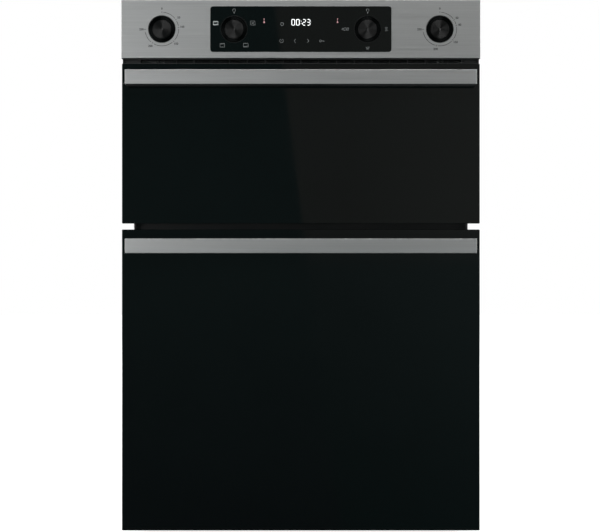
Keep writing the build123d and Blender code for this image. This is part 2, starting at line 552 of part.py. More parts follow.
with BuildPart() as cooling_fan_motor:
    bar_along_z(0, BLOWER_Y, 27.0, BLOWER_Z[1] + 5.0, BLOWER_Z[1] + 32.0)
    for arm in range(3):
        angle = 90.0 + 120.0 * arm
        place = (38.0 * cos(radians(angle)), BLOWER_Y + 38.0 * sin(radians(angle)), BLOWER_Z[1] + 7.0)
        with Locations(Location(place, (0, 0, angle))):
            Box(34.0, 8.0, 3.0)
        foot = (53.0 * cos(radians(angle)), BLOWER_Y + 53.0 * sin(radians(angle)), BLOWER_Z[1] + 4.0)
        with Locations(foot):
            Cylinder(5.0, 8.0)
    bar_along_z(0, BLOWER_Y, 3.0 + RUNNING_GAP, BLOWER_Z[1] + 1.0, BLOWER_Z[1] + 16.0, mode=Mode.SUBTRACT)
cooling_fan_motor.part.label = "cooling_fan_motor"
export_step(cooling_fan_motor.part, "parts/cooling_fan_motor.step")

DUCT_X = 230.0
DUCT_TOP_Z = FASCIA_Z
DUCT_FRONT_Y = CABINET_Y - 0.5
GRILLE_BACK_Y = CABINET_Y - 1.0
with BuildPart() as air_duct:
    with BuildSketch(Plane.XY.offset(DECK_Z + SHEET)):
        Polygon((-DUCT_X, DUCT_FRONT_Y), (DUCT_X, DUCT_FRONT_Y), (DUCT_X, -100), (74, BLOWER_Y - 100),
                (-74, BLOWER_Y - 100), (-DUCT_X, -100), align=None)
    extrude(amount=DUCT_TOP_Z - DECK_Z - SHEET)
    with BuildSketch(Plane.XY.offset(DECK_Z + SHEET)):
        Polygon((-DUCT_X + 1, DUCT_FRONT_Y - 1), (DUCT_X - 1, DUCT_FRONT_Y - 1), (DUCT_X - 1, -100),
                (73, BLOWER_Y - 99), (-73, BLOWER_Y - 99), (-DUCT_X + 1, -100), align=None)
    extrude(amount=DUCT_TOP_Z - DECK_Z - 2 * SHEET, mode=Mode.SUBTRACT)
air_duct.part.label = "air_duct"
export_step(air_duct.part, "parts/air_duct.step")

with BuildPart() as terminal_box:
    block(TERMINAL_X, (TERMINAL_Y, BACK_Y), TERMINAL_Z)
    fillet(terminal_box.edges().filter_by(Axis.Y), 4.0)
    block((TERMINAL_X[0] + 2, TERMINAL_X[1] - 2), (TERMINAL_Y - 1, BACK_Y - 3),
          (TERMINAL_Z[0] + 2, TERMINAL_Z[1] - 2), mode=Mode.SUBTRACT)
    bar_along_y(TERMINAL_X[1] - 20, TERMINAL_Z[0] + 20, 12.5, BACK_Y - 10, BACK_Y)
    bar_along_y(TERMINAL_X[1] - 20, TERMINAL_Z[0] + 20, 9.0, BACK_Y - 12, BACK_Y + 1, mode=Mode.SUBTRACT)
terminal_box.part.label = "terminal_box"
export_step(terminal_box.part, "parts/terminal_box.step")

with BuildPart() as terminal_block:
    block((TERMINAL_X[0] + 6, TERMINAL_X[0] + 56), (TERMINAL_Y + 4, TERMINAL_Y + 18),
          (TERMINAL_Z[1] - 20, TERMINAL_Z[1] - 2))
    for pole in range(5):
        bar_along_y(TERMINAL_X[0] + 11 + 10 * pole, TERMINAL_Z[1] - 11, 2.6,
                    TERMINAL_Y + 16, TERMINAL_Y + 19)
terminal_block.part.label = "terminal_block"
export_step(terminal_block.part, "parts/terminal_block.step")

# ================================================================ the control panel
FASCIA_SHEET = 1.2
FASCIA_FOLD = 0.7          # outer radius of the folded edges
KNOB_PLACES = (-KNOB_X_OUTER, -KNOB_X_INNER, KNOB_X_INNER, KNOB_X_OUTER)
GLASS_PLAY = 0.25
DISPLAY_CORNER = 4.5

with BuildPart() as control_fascia:
    half = FASCIA_WIDTH / 2
    block((-half, half), (FRONT_Y, CABINET_Y - 0.5), (FASCIA_Z, TOP_Z))
    fillet(control_fascia.faces().sort_by(Axis.Y)[0].edges(), FASCIA_FOLD)
    block((-half + FASCIA_SHEET, half - FASCIA_SHEET), (FRONT_Y + FASCIA_SHEET, CABINET_Y),
          (FASCIA_Z + FASCIA_SHEET, TOP_Z - FASCIA_SHEET), mode=Mode.SUBTRACT)
    with BuildSketch(front_plane(FRONT_Y)):
        with Locations((0, CONTROL_Z)):
            RectangleRounded(DISPLAY_WIDTH + 2 * GLASS_PLAY, DISPLAY_HEIGHT + 2 * GLASS_PLAY,
                             DISPLAY_CORNER + GLASS_PLAY)
        with Locations((-KNOB_X_OUTER, CONTROL_Z), (KNOB_X_OUTER, CONTROL_Z)):
            Circle(BEZEL_RADIUS + 0.1)
    extrude(amount=-FASCIA_SHEET - 0.5, mode=Mode.SUBTRACT)
control_fascia.part.label = "control_fascia"
export_step(control_fascia.part, "parts/control_fascia.step")

DISPLAY_GLASS = 3.0
with BuildPart() as display_glass:
    with BuildSketch(front_plane(FRONT_Y)):
        with Locations((0, CONTROL_Z)):
            RectangleRounded(DISPLAY_WIDTH, DISPLAY_HEIGHT, DISPLAY_CORNER)
        with Locations((-KNOB_X_INNER, CONTROL_Z), (KNOB_X_INNER, CONTROL_Z)):
            Circle(BEZEL_RADIUS + 0.1, mode=Mode.SUBTRACT)
    extrude(amount=-DISPLAY_GLASS)
    chamfer(display_glass.faces().sort_by(Axis.Y)[0].outer_wire().edges(), 0.3)
display_glass.part.label = "display_glass"
export_step(display_glass.part, "parts/display_glass.step")

MODULE_Y = (FRONT_Y + DISPLAY_GLASS, FRONT_Y + 15.0)
with BuildPart() as display_module:
    block((-82, 82), MODULE_Y, (CONTROL_Z - 33, CONTROL_Z + 33))
    block((-79, 79), (MODULE_Y[0] - 1, MODULE_Y[1] - 3), (CONTROL_Z - 30, CONTROL_Z + 30),
          mode=Mode.SUBTRACT)
    block((-40, 40), (MODULE_Y[0] + 1, MODULE_Y[1] - 3), (CONTROL_Z - 2, CONTROL_Z + 24))
    for key_x in (-32.0, -10.0, 12.0, 34.0):
        bar_along_y(key_x, CONTROL_Z - 19.6, 4.5, MODULE_Y[0], MODULE_Y[1] - 3)
display_module.part.label = "display_module"
export_step(display_module.part, "parts/display_module.step")

SUPPORT_Y = (CABINET_Y - 3.0, CABINET_Y - 1.5)
BOSS_RADIUS = 9.0
with BuildPart() as control_support:
    block((-272, 272), SUPPORT_Y, (FASCIA_Z + 4, TOP_Z - 10))
    block((-272, 272), (SUPPORT_Y[0], SUPPORT_Y[1] + 14), (FASCIA_Z + 4, FASCIA_Z + 5.5))
    block((-272, 272), (SUPPORT_Y[0], SUPPORT_Y[1] + 14), (TOP_Z - 11.5, TOP_Z - 10))
    for knob_x in KNOB_PLACES:
        bar_along_y(knob_x, CONTROL_Z, BOSS_RADIUS + 0.1, SUPPORT_Y[0] - 1, SUPPORT_Y[1] + 1,
                    mode=Mode.SUBTRACT)
    for tab_x in (-200.0, 0.0, 200.0):
        block((tab_x - 8, tab_x + 8), (SUPPORT_Y[0], CABINET_Y - 0.2), (TOP_Z - 12, TOP_Z - FASCIA_SHEET))
    for pad_x in (-141.0, 141.0):
        for pad_z in (CONTROL_Z - 30, CONTROL_Z + 30):
            block((pad_x - 5, pad_x + 5), (FRONT_Y + DISPLAY_GLASS, SUPPORT_Y[0] + 1),
                  (pad_z - 5, pad_z + 5))
control_support.part.label = "control_support"
export_step(control_support.part, "parts/control_support.step")

GRILLE_X = 295.5
GRILLE_FRONT_Y = FRONT_Y + 6.0
GRILLE_Z = (VENT_Z + 0.6, FASCIA_Z - 0.1)
GRILLE_RIBS = 18
POST_X = 266.2             # half the width of the open part
GRILLE_WALL = 1.4
RIB_HALF = 0.8
RIB_SETBACK = 5.0
with BuildPart() as vent_grille:
    window_z = (GRILLE_Z[0] + GRILLE_WALL, GRILLE_Z[1] - GRILLE_WALL)
    block((-GRILLE_X, GRILLE_X), (GRILLE_FRONT_Y, GRILLE_BACK_Y), GRILLE_Z)
    block((-POST_X, POST_X), (GRILLE_FRONT_Y - 1, GRILLE_BACK_Y + 1), window_z, mode=Mode.SUBTRACT)
    for side in (-1, 1):
        end_x = sorted((side * (POST_X + 2 * RIB_HALF), side * (GRILLE_X - GRILLE_WALL)))
        block(end_x, (GRILLE_FRONT_Y - 1, GRILLE_FRONT_Y + RIB_SETBACK), window_z, mode=Mode.SUBTRACT)
    for rib in range(1, GRILLE_RIBS):
        rib_x = (rib - GRILLE_RIBS / 2) * 2 * POST_X / GRILLE_RIBS
        block((rib_x - RIB_HALF, rib_x + RIB_HALF), (GRILLE_FRONT_Y + RIB_SETBACK, GRILLE_BACK_Y),
              (GRILLE_Z[0] + 1, GRILLE_Z[1] - 1))
vent_grille.part.label = "vent_grille"
export_step(vent_grille.part, "parts/vent_grille.step")

BEZEL_WALL = 0.9
BEZEL_FRONT_Y = FRONT_Y - 0.3
BEZEL_BACK_Y = FRONT_Y + 14.0
with BuildPart() as knob_bezels:
    for knob_x in KNOB_PLACES:
        bar_along_y(knob_x, CONTROL_Z, BEZEL_RADIUS, BEZEL_FRONT_Y, BEZEL_BACK_Y)
        bar_along_y(knob_x, CONTROL_Z, BEZEL_RADIUS - BEZEL_WALL, BEZEL_FRONT_Y - 1, BEZEL_BACK_Y + 1,
                    mode=Mode.SUBTRACT)
knob_bezels.part.label = "knob_bezels"
export_step(knob_bezels.part, "parts/knob_bezels.step")

# Switches behind the knobs: each has a boss with a bore in which the knob carriage slides.
CARRIAGE_RADIUS = 5.0
SHAFT_RADIUS = 3.0
BOSS_FRONT_Y = CABINET_Y - 5.0
SWITCH_FRONT_Y = SUPPORT_Y[1]
BORE_END_Y = SWITCH_FRONT_Y + 34.0

with BuildPart() as thermostats:
    for knob_x in (-KNOB_X_OUTER, KNOB_X_OUTER):
        bar_along_y(knob_x, CONTROL_Z, BOSS_RADIUS, BOSS_FRONT_Y, SWITCH_FRONT_Y + 2)
        block((knob_x - 20, knob_x + 20), (SWITCH_FRONT_Y, SWITCH_FRONT_Y + 40),
              (CONTROL_Z - 20, CONTROL_Z + 20))
        bar_along_y(knob_x, CONTROL_Z, CARRIAGE_RADIUS + RUNNING_GAP, BOSS_FRONT_Y - 1, BORE_END_Y,
                    mode=Mode.SUBTRACT)
        bar_along_z(knob_x, SWITCH_FRONT_Y + 20, 14.0, CONTROL_Z - 26, CONTROL_Z - 20)
thermostats.part.label = "thermostats"
export_step(thermostats.part, "parts/thermostats.step")

with BuildPart() as selector_switches:
    for knob_x in (-KNOB_X_INNER, KNOB_X_INNER):
        bar_along_y(knob_x, CONTROL_Z, BOSS_RADIUS, BOSS_FRONT_Y, SWITCH_FRONT_Y + 2)
        block((knob_x - 17, knob_x + 17), (SWITCH_FRONT_Y, SWITCH_FRONT_Y + 46),
              (CONTROL_Z - 24, CONTROL_Z + 24))
        bar_along_y(knob_x, CONTROL_Z, CARRIAGE_RADIUS + RUNNING_GAP, BOSS_FRONT_Y - 1, BORE_END_Y,
                    mode=Mode.SUBTRACT)
        for tag in range(4):
            tag_y = SWITCH_FRONT_Y + 10 + 9 * tag
            block((knob_x - 5, knob_x + 5), (tag_y, tag_y + 1), (CONTROL_Z - 32, CONTROL_Z - 23))
selector_switches.part.label = "selector_switches"
export_step(selector_switches.part, "parts/selector_switches.step")

KNOB_FRONT_Y = FRONT_Y - 0.5
KNOB_SKIRT_Y = FRONT_Y + 16.0
FLANGE_Y = FRONT_Y + 10.0
CARRIAGE_BACK_Y = CABINET_Y + 16.0
for name, knob_x in (("far_left", -KNOB_X_OUTER), ("near_left", -KNOB_X_INNER),
                     ("near_right", KNOB_X_INNER), ("far_right", KNOB_X_OUTER)):
    with BuildPart() as knob_carriage:
        bar_along_y(knob_x, CONTROL_Z, 8.5, FLANGE_Y, FLANGE_Y + 2.0)
        bar_along_y(knob_x, CONTROL_Z, CARRIAGE_RADIUS, FLANGE_Y, CARRIAGE_BACK_Y)
        bar_along_y(knob_x, CONTROL_Z, SHAFT_RADIUS + RUNNING_GAP, FLANGE_Y - 1, CARRIAGE_BACK_Y + 1,
                    mode=Mode.SUBTRACT)
    knob_carriage.part.label = f"knob_carriage_{name}"
    export_step(knob_carriage.part, f"parts/knob_carriage_{name}.step")

    with BuildPart() as knob:
        with BuildSketch(Plane((knob_x, 0, CONTROL_Z), x_dir=(0, 1, 0), z_dir=(1, 0, 0))):
            with BuildLine():
                Polyline((KNOB_FRONT_Y + 0.5, 0), (KNOB_FRONT_Y + 0.35, 15.4), (KNOB_FRONT_Y + 0.8, 15.5),
                         (KNOB_FRONT_Y + 0.8, 15.9), (KNOB_FRONT_Y, 16.4), (KNOB_FRONT_Y, KNOB_RADIUS - 0.8),
                         (KNOB_FRONT_Y + 0.8, KNOB_RADIUS), (KNOB_SKIRT_Y, KNOB_RADIUS),
                         (KNOB_SKIRT_Y, KNOB_RADIUS - 1.8), (KNOB_FRONT_Y + 3.0, KNOB_RADIUS - 1.8),
                         (KNOB_FRONT_Y + 3.0, 7.0), (FLANGE_Y - 0.1, 7.0), (FLANGE_Y - 0.1, SHAFT_RADIUS),
                         (CARRIAGE_BACK_Y + 10.0, SHAFT_RADIUS), (CARRIAGE_BACK_Y + 10.0, 0), close=True)
            make_face()
        revolve(axis=Axis((knob_x, 0, CONTROL_Z), (0, 1, 0)))
        block((knob_x - 0.5, knob_x + 0.5), (KNOB_FRONT_Y - 1, KNOB_FRONT_Y + 0.4),
              (CONTROL_Z + 16.6, CONTROL_Z + KNOB_RADIUS + 1), mode=Mode.SUBTRACT)
    knob.part.label = f"knob_{name}"
    export_step(knob.part, f"parts/knob_{name}.step")

# ================================================================ hinges and doors
ARM_BACK_Y = FRAME_BACK_Y + 26.0
HOOK_DROP = 3.0
with BuildPart() as hinge_arms:
    for pivot_z in (LOWER_PIVOT_Z, UPPER_PIVOT_Z):
        for side in (-1, 1):
            low_x = side * HINGE_X - ARM_HALF_WIDTH
            high_x = side * HINGE_X + ARM_HALF_WIDTH
            bar_along_x(PIVOT_Y, pivot_z, 5.5, low_x, high_x)
            block((low_x, high_x), (PIVOT_Y, ARM_BACK_Y),
                  (pivot_z - ARM_HALF_HEIGHT, pivot_z + ARM_HALF_HEIGHT))
            block((low_x, high_x), (FRAME_BACK_Y + 0.2, ARM_BACK_Y),
                  (pivot_z - ARM_HALF_HEIGHT - HOOK_DROP, pivot_z))
            bar_along_x(PIVOT_Y, pivot_z, HINGE_PIN_RADIUS + RUNNING_GAP, low_x - 1, high_x + 1,
                        mode=Mode.SUBTRACT)
hinge_arms.part.label = "hinge_arms"
export_step(hinge_arms.part, "parts/hinge_arms.step")

PACK_X = 270.0             # half width of the door's frame behind the outer glass
PACK_FRONT_Y = FRONT_Y + OUTER_GLASS
PACK_BACK_Y = DOOR_BACK_Y - INNER_GLASS
WINDOW_X = 240.0
CHANNEL_INNER = 3.5        # half the gap between the cheeks
CHANNEL_OUTER = 5.5
GROOVE_HALF = 6.0
CHANNEL_LENGTH = 150.0
CHANNEL_DEPTH = 16.0
LUG_RADIUS = 6.3
INNER_GLASS_X = 253.0
STUD_RADIUS = 4.0
STUD_BOSS_RADIUS = 8.0
FRAME_WALL = 1.5
STUD_X = (-240.0, 0.0, 240.0)

for door, low_z, height, handle_drop in (("lower", LOWER_DOOR_Z, LOWER_DOOR_HEIGHT, LOWER_HANDLE_DROP),
                                         ("upper", UPPER_DOOR_Z, UPPER_DOOR_HEIGHT, UPPER_HANDLE_DROP)):
    pivot_z = low_z + PIVOT_RISE
    door_top_z = low_z + height
    pack_z = (pivot_z + 8.0, door_top_z - 8.0)
    window_z = (pivot_z + 38.0, door_top_z - 50.0)
    handle_top_z = door_top_z - handle_drop
    handle_z = (handle_top_z - HANDLE_HEIGHT, handle_top_z)
    stud_z = handle_z[0] + 8.0

    with BuildPart() as outer_glass:
        block((-DOOR_WIDTH / 2, DOOR_WIDTH / 2), (FRONT_Y, PACK_FRONT_Y), (low_z, door_top_z))
        fillet(outer_glass.edges().filter_by(Axis.Y), 1.5)
        chamfer(outer_glass.faces().sort_by(Axis.Y)[0].edges(), 0.5)
        for stud_x in STUD_X:
            bar_along_y(stud_x, stud_z, STUD_RADIUS + 0.3, FRONT_Y - 1, PACK_FRONT_Y + 1,
                        mode=Mode.SUBTRACT)
    outer_glass.part.label = f"{door}_outer_glass"
    export_step(outer_glass.part, f"parts/{door}_outer_glass.step")

    with BuildPart() as handle:
        half = HANDLE_LENGTH / 2
        block((-half, half), (HANDLE_Y, FRONT_Y), handle_z)
        block((-half - 1, half + 1), (HANDLE_Y + 2.5, FRONT_Y - 2.0), (handle_z[0] + 2.5, handle_z[1] + 1),
              mode=Mode.SUBTRACT)
        block((-half - 1, half + 1), (FRONT_Y - 3.0, FRONT_Y + 1), (handle_z[0] + 15.0, handle_z[1] + 1),
              mode=Mode.SUBTRACT)
        front_edges = handle.faces().sort_by(Axis.Y)[0].edges()
        fillet(front_edges, 0.9)
        for stud_x in STUD_X:
            bar_along_y(stud_x, stud_z, STUD_RADIUS, FRONT_Y - 1, FRONT_Y + 12.0)
    handle.part.label = f"{door}_handle"
    export_step(handle.part, f"parts/{door}_handle.step")

    with BuildPart() as door_frame:
        block((-PACK_X, PACK_X), (PACK_FRONT_Y, PACK_BACK_Y), pack_z)
        fillet(door_frame.edges().filter_by(Axis.Y), 2.0)
        block((-PACK_X + FRAME_WALL, PACK_X - FRAME_WALL), (PACK_FRONT_Y - 1, PACK_BACK_Y - FRAME_WALL),
              (pack_z[0] + FRAME_WALL, pack_z[1] - FRAME_WALL), mode=Mode.SUBTRACT)
        block((-WINDOW_X - FRAME_WALL, WINDOW_X + FRAME_WALL), (PACK_FRONT_Y, PACK_BACK_Y),
              (window_z[0] - FRAME_WALL, window_z[1] + FRAME_WALL))
        for side in (-1, 1):
            box_half = GROOVE_HALF + FRAME_WALL
            block((side * HINGE_X - box_half, side * HINGE_X + box_half), (PACK_FRONT_Y, PACK_BACK_Y),
                  (pack_z[0] + 1.0, pack_z[0] + CHANNEL_LENGTH + FRAME_WALL))
        for stud_x in STUD_X:
            bar_along_y(stud_x, stud_z, STUD_BOSS_RADIUS, PACK_FRONT_Y, PACK_BACK_Y)
        block((-WINDOW_X, WINDOW_X), (PACK_FRONT_Y - 1, PACK_BACK_Y + 1), window_z, mode=Mode.SUBTRACT)
        for side in (-1, 1):
            groove_x = (side * HINGE_X - GROOVE_HALF, side * HINGE_X + GROOVE_HALF)
            block(groove_x, (PACK_FRONT_Y + 3.0, PACK_BACK_Y + 1),
                  (pack_z[0] - 1, pack_z[0] + CHANNEL_LENGTH),
                  mode=Mode.SUBTRACT)
        for stud_x in STUD_X:
            bar_along_y(stud_x, stud_z, STUD_RADIUS + 0.1, PACK_FRONT_Y - 1, FRONT_Y + 12.5,
                        mode=Mode.SUBTRACT)
        with BuildSketch(Plane.XY.offset(pack_z[1])):
            with Locations((0, (PACK_FRONT_Y + PACK_BACK_Y) / 2)):
                with GridLocations(40.0, 1.0, 12, 1):
                    SlotOverall(26.0, 8.0)
        extrude(amount=-5.0, mode=Mode.SUBTRACT)
    door_frame.part.label = f"{door}_door_frame"
    export_step(door_frame.part, f"parts/{door}_door_frame.step")

    with BuildPart() as middle_glass:
        middle_y = (PACK_FRONT_Y + PACK_BACK_Y) / 2
        block((-WINDOW_X, WINDOW_X), (middle_y, middle_y + INNER_GLASS), window_z)
    middle_glass.part.label = f"{door}_middle_glass"
    export_step(middle_glass.part, f"parts/{door}_middle_glass.step")

    with BuildPart() as inner_glass:
        block((-INNER_GLASS_X, INNER_GLASS_X), (PACK_BACK_Y, DOOR_BACK_Y), (pack_z[0], pack_z[1] - 2.0))
        fillet(inner_glass.edges().filter_by(Axis.Y), 6.0)
    inner_glass.part.label = f"{door}_inner_glass"
    export_step(inner_glass.part, f"parts/{door}_inner_glass.step")

    with BuildPart() as hinge_channels:
        channel_y = (PACK_FRONT_Y + 3.2, PACK_FRONT_Y + 3.2 + CHANNEL_DEPTH)
        channel_top_z = pack_z[0] + CHANNEL_LENGTH - 0.5
        for side in (-1, 1):
            middle_x = side * HINGE_X
            outside = (middle_x - CHANNEL_OUTER, middle_x + CHANNEL_OUTER)
            inside = (middle_x - CHANNEL_INNER, middle_x + CHANNEL_INNER)
            block(outside, channel_y, (pivot_z, channel_top_z))
            bar_along_x(PIVOT_Y, pivot_z, LUG_RADIUS, *outside)
            block(inside, (channel_y[0] + 2.0, channel_y[1] + 1), (pivot_z - 8, channel_top_z + 1),
                  mode=Mode.SUBTRACT)
            block(inside, (channel_y[0] - 4, channel_y[1] + 1), (pivot_z - 8, pack_z[0]), mode=Mode.SUBTRACT)
            bar_along_x(PIVOT_Y, pivot_z, HINGE_PIN_RADIUS, *outside)
    hinge_channels.part.label = f"{door}_hinge_channels"
    export_step(hinge_channels.part, f"parts/{door}_hinge_channels.step")

# Pan-head screws that close the case, on the rear panel and the rear cover's flange.
SCREW_RADIUS = 3.8
SCREW_HEIGHT = 2.4
with BuildPart() as case_screws:
    for side in (-1, 1):
        for screw_z in (60.0, 320.0, 580.0, 840.0):
            bar_along_y(side * 262.0, screw_z, SCREW_RADIUS, CASE_BACK_Y + SHEET,
                        CASE_BACK_Y + SHEET + SCREW_HEIGHT)
        for screw_z in (FAN_Z - COVER_HALF_HEIGHT + 40, FAN_Z + COVER_HALF_HEIGHT - 40):
            bar_along_y(side * (COVER_X - 6), screw_z, SCREW_RADIUS, CASE_BACK_Y + 2 * SHEET,
                        CASE_BACK_Y + 2 * SHEET + SCREW_HEIGHT)
    fillet(case_screws.faces().group_by(Axis.Y)[-1].edges(), 1.2)
    fillet(case_screws.faces().filter_by(Plane.XZ).group_by(Axis.Y)[-2].edges(), 1.2)
case_screws.part.label = "case_screws"
export_step(case_screws.part, "parts/case_screws.step")
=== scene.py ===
import json
import math

import bmesh
import bpy
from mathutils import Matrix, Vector


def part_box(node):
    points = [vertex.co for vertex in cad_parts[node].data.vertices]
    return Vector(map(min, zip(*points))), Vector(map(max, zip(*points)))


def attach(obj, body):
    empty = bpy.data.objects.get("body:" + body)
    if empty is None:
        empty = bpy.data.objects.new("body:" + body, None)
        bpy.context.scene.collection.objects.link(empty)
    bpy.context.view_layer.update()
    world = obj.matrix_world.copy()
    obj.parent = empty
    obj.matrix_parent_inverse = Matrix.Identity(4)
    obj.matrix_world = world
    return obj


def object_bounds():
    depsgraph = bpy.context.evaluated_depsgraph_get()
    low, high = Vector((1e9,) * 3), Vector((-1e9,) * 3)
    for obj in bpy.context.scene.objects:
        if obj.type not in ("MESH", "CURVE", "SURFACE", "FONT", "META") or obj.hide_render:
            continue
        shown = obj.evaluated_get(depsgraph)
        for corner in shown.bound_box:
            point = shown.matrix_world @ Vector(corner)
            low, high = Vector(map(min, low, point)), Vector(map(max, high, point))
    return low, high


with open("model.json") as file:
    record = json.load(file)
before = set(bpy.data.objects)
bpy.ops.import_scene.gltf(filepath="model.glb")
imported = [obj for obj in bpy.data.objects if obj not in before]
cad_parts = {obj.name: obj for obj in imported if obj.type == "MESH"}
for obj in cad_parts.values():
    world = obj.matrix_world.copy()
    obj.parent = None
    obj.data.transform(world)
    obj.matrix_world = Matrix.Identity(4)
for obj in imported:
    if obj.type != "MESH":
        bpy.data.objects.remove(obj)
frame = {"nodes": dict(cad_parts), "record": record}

cad_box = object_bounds()
MM = 0.001
SCENE = bpy.context.scene
SCENE.view_settings.view_transform = "Standard"

# ---------------------------------------------------------------- places, from the frame
glass_low, glass_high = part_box("display_glass")
FRONT_Y = glass_low.y                      # the plane of the display glass, the fascia and the doors
CONTROL_Z = (glass_low.z + glass_high.z) / 2
KNOBS = ("far_left", "near_left", "near_right", "far_right")


def middle(node):
    """The centre of a node's box at rest."""
    low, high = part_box(node)
    return (low + high) / 2


KNOB_X = {name: middle("knob_" + name).x for name in KNOBS}


# ---------------------------------------------------------------- camera
CAMERA_X = -0.0014
CAMERA_HEIGHT = 0.4477
CAMERA_DISTANCE = 2.0                      # in front of the doors
VIEW_WIDTH = 0.9928                        # seen across the picture at the doors' plane
SENSOR = 36.0


def make_camera():
    """A level camera looking straight at the front."""
    lens = bpy.data.cameras.new("camera")
    lens.sensor_width = SENSOR
    lens.lens = SENSOR * CAMERA_DISTANCE / VIEW_WIDTH
    camera = bpy.data.objects.new("camera", lens)
    camera.location = (CAMERA_X, FRONT_Y - CAMERA_DISTANCE, CAMERA_HEIGHT)
    camera.rotation_euler = (math.radians(90), 0, 0)
    SCENE.collection.objects.link(camera)
    SCENE.camera = camera


# ---------------------------------------------------------------- material nodes
def new_material(name):
    """A node material, its tree and its Principled shader."""
    made = bpy.data.materials.new(name)
    made.use_nodes = True
    return made, made.node_tree, made.node_tree.nodes["Principled BSDF"]


def coords(tree, stretch=(1, 1, 1), centre=(0, 0, 0)):
    """Object coordinates in metres, moved to a centre and stretched."""
    source = tree.nodes.new("ShaderNodeTexCoord")
    mapping = tree.nodes.new("ShaderNodeMapping")
    mapping.vector_type = "POINT"
    mapping.inputs["Scale"].default_value = stretch
    mapping.inputs["Location"].default_value = [-c * s for c, s in zip(centre, stretch)]
    tree.links.new(source.outputs["Object"], mapping.inputs["Vector"])
    return mapping.outputs["Vector"]


def noise(tree, vector, scale, detail=3.0, roughness=0.5):
    """A noise value."""
    node = tree.nodes.new("ShaderNodeTexNoise")
    node.inputs["Scale"].default_value = scale
    node.inputs["Detail"].default_value = detail
    node.inputs["Roughness"].default_value = roughness
    tree.links.new(vector, node.inputs["Vector"])
    return node.outputs["Fac"]


def cells(tree, scale):
    """Cells spread over the surface: a colour for each, and the distance from its middle."""
    node = tree.nodes.new("ShaderNodeTexVoronoi")
    node.inputs["Scale"].default_value = scale
    tree.links.new(coords(tree), node.inputs["Vector"])
    return node.outputs["Color"], node.outputs["Distance"]


def length(tree, vector):
    """The distance of a point from the origin of its coordinates."""
    node = tree.nodes.new("ShaderNodeVectorMath")
    node.operation = "LENGTH"
    tree.links.new(vector, node.inputs[0])
    return node.outputs["Value"]


def weighted(tree, value, weight, other):
    """A value times a weight, plus another value."""
    node = tree.nodes.new("ShaderNodeMath")
    node.operation = "MULTIPLY_ADD"
    node.inputs[1].default_value = weight
    tree.links.new(value, node.inputs[0])
    tree.links.new(other, node.inputs[2])
    return node.outputs[0]


def spread(tree, value, low, high, from_low=0.3, from_high=0.7):
    """Map a value to a range of numbers."""
    node = tree.nodes.new("ShaderNodeMapRange")
    node.inputs["From Min"].default_value = from_low
    node.inputs["From Max"].default_value = from_high
    node.inputs["To Min"].default_value = low
    node.inputs["To Max"].default_value = high
    tree.links.new(value, node.inputs["Value"])
    return node.outputs["Result"]


def ramp(tree, value, *stops):
    """Map a value to colours: each stop is a place and a colour."""
    node = tree.nodes.new("ShaderNodeValToRGB")
    elements = node.color_ramp.elements
    while len(elements) < len(stops):
        elements.new(0.5)
    for element, (place, colour) in zip(elements, stops):
        element.position = place
        element.color = (*colour, 1.0)
    tree.links.new(value, node.inputs["Fac"])
    return node.outputs["Color"]


def mixed(tree, share, first, second):
    """Mix a colour with a second one, which is a link or a constant."""
    node = tree.nodes.new("ShaderNodeMix")
    node.data_type = "RGBA"
    tree.links.new(share, node.inputs[0])
    tree.links.new(first, node.inputs[6])
    if isinstance(second, tuple):
        node.inputs[7].default_value = (*second, 1.0)
    else:
        tree.links.new(second, node.inputs[7])
    return node.outputs[2]


def bump(tree, shader, height, distance, strength=1.0):
    """Bump from a height value, in metres."""
    node = tree.nodes.new("ShaderNodeBump")
    node.inputs["Distance"].default_value = distance
    node.inputs["Strength"].default_value = strength
    tree.links.new(height, node.inputs["Height"])
    tree.links.new(node.outputs["Normal"], shader.inputs["Normal"])


def shade(colour, level):
    """A colour made darker or lighter."""
    return tuple(part * level for part in colour)


def grey(level, tint=(1.0, 1.0, 1.0)):
    """A near-neutral colour."""
    return shade(tint, level)


# ---------------------------------------------------------------- materials
SPANGLE = 110.0                            # zinc crystals in a metre
SPECKLES = 700.0                           # enamel specks in a metre
SPIN_RINGS = 1600.0                        # turning marks in a metre
FACE_RADIUS = 15.5 * MM                    # the spun face of a knob, inside its rim
FACE_BLEND = 0.3 * MM
KNOB_BLACK = (0.0022, 0.0028, 0.0028)


def brushed_steel(name, level, grain=(6.0, 6.0, 1500.0), rough=(0.36, 0.46)):
    """Stainless steel brushed along X."""
    made, tree, shader = new_material(name)
    shader.inputs["Metallic"].default_value = 1.0
    shader.inputs["Anisotropic"].default_value = 0.35
    streaks = noise(tree, coords(tree, grain), 1.0, 4.0, 0.6)
    clouds = noise(tree, coords(tree, (3.0, 3.0, 9.0)), 2.0, 2.0)
    tones = weighted(tree, clouds, 0.25, streaks)
    colour = ramp(tree, tones, (0.35, grey(level * 0.90)), (0.65, grey(level)), (0.95, grey(level * 1.10)))
    tree.links.new(colour, shader.inputs["Base Color"])
    tree.links.new(spread(tree, streaks, *rough), shader.inputs["Roughness"])
    bump(tree, shader, streaks, 0.00002, 0.35)
    return made


def black_glass(name):
    """Black printed glass: polished, with the faintest film on it."""
    made, tree, shader = new_material(name)
    film = noise(tree, coords(tree), 9.0, 5.0, 0.6)
    colour = ramp(tree, film, (0.3, (0.0006, 0.0012, 0.0012)), (0.8, (0.0010, 0.0018, 0.0018)))
    tree.links.new(colour, shader.inputs["Base Color"])
    tree.links.new(spread(tree, film, 0.015, 0.05), shader.inputs["Roughness"])
    shader.inputs["IOR"].default_value = 1.5
    bump(tree, shader, film, 0.00004, 0.15)
    return made


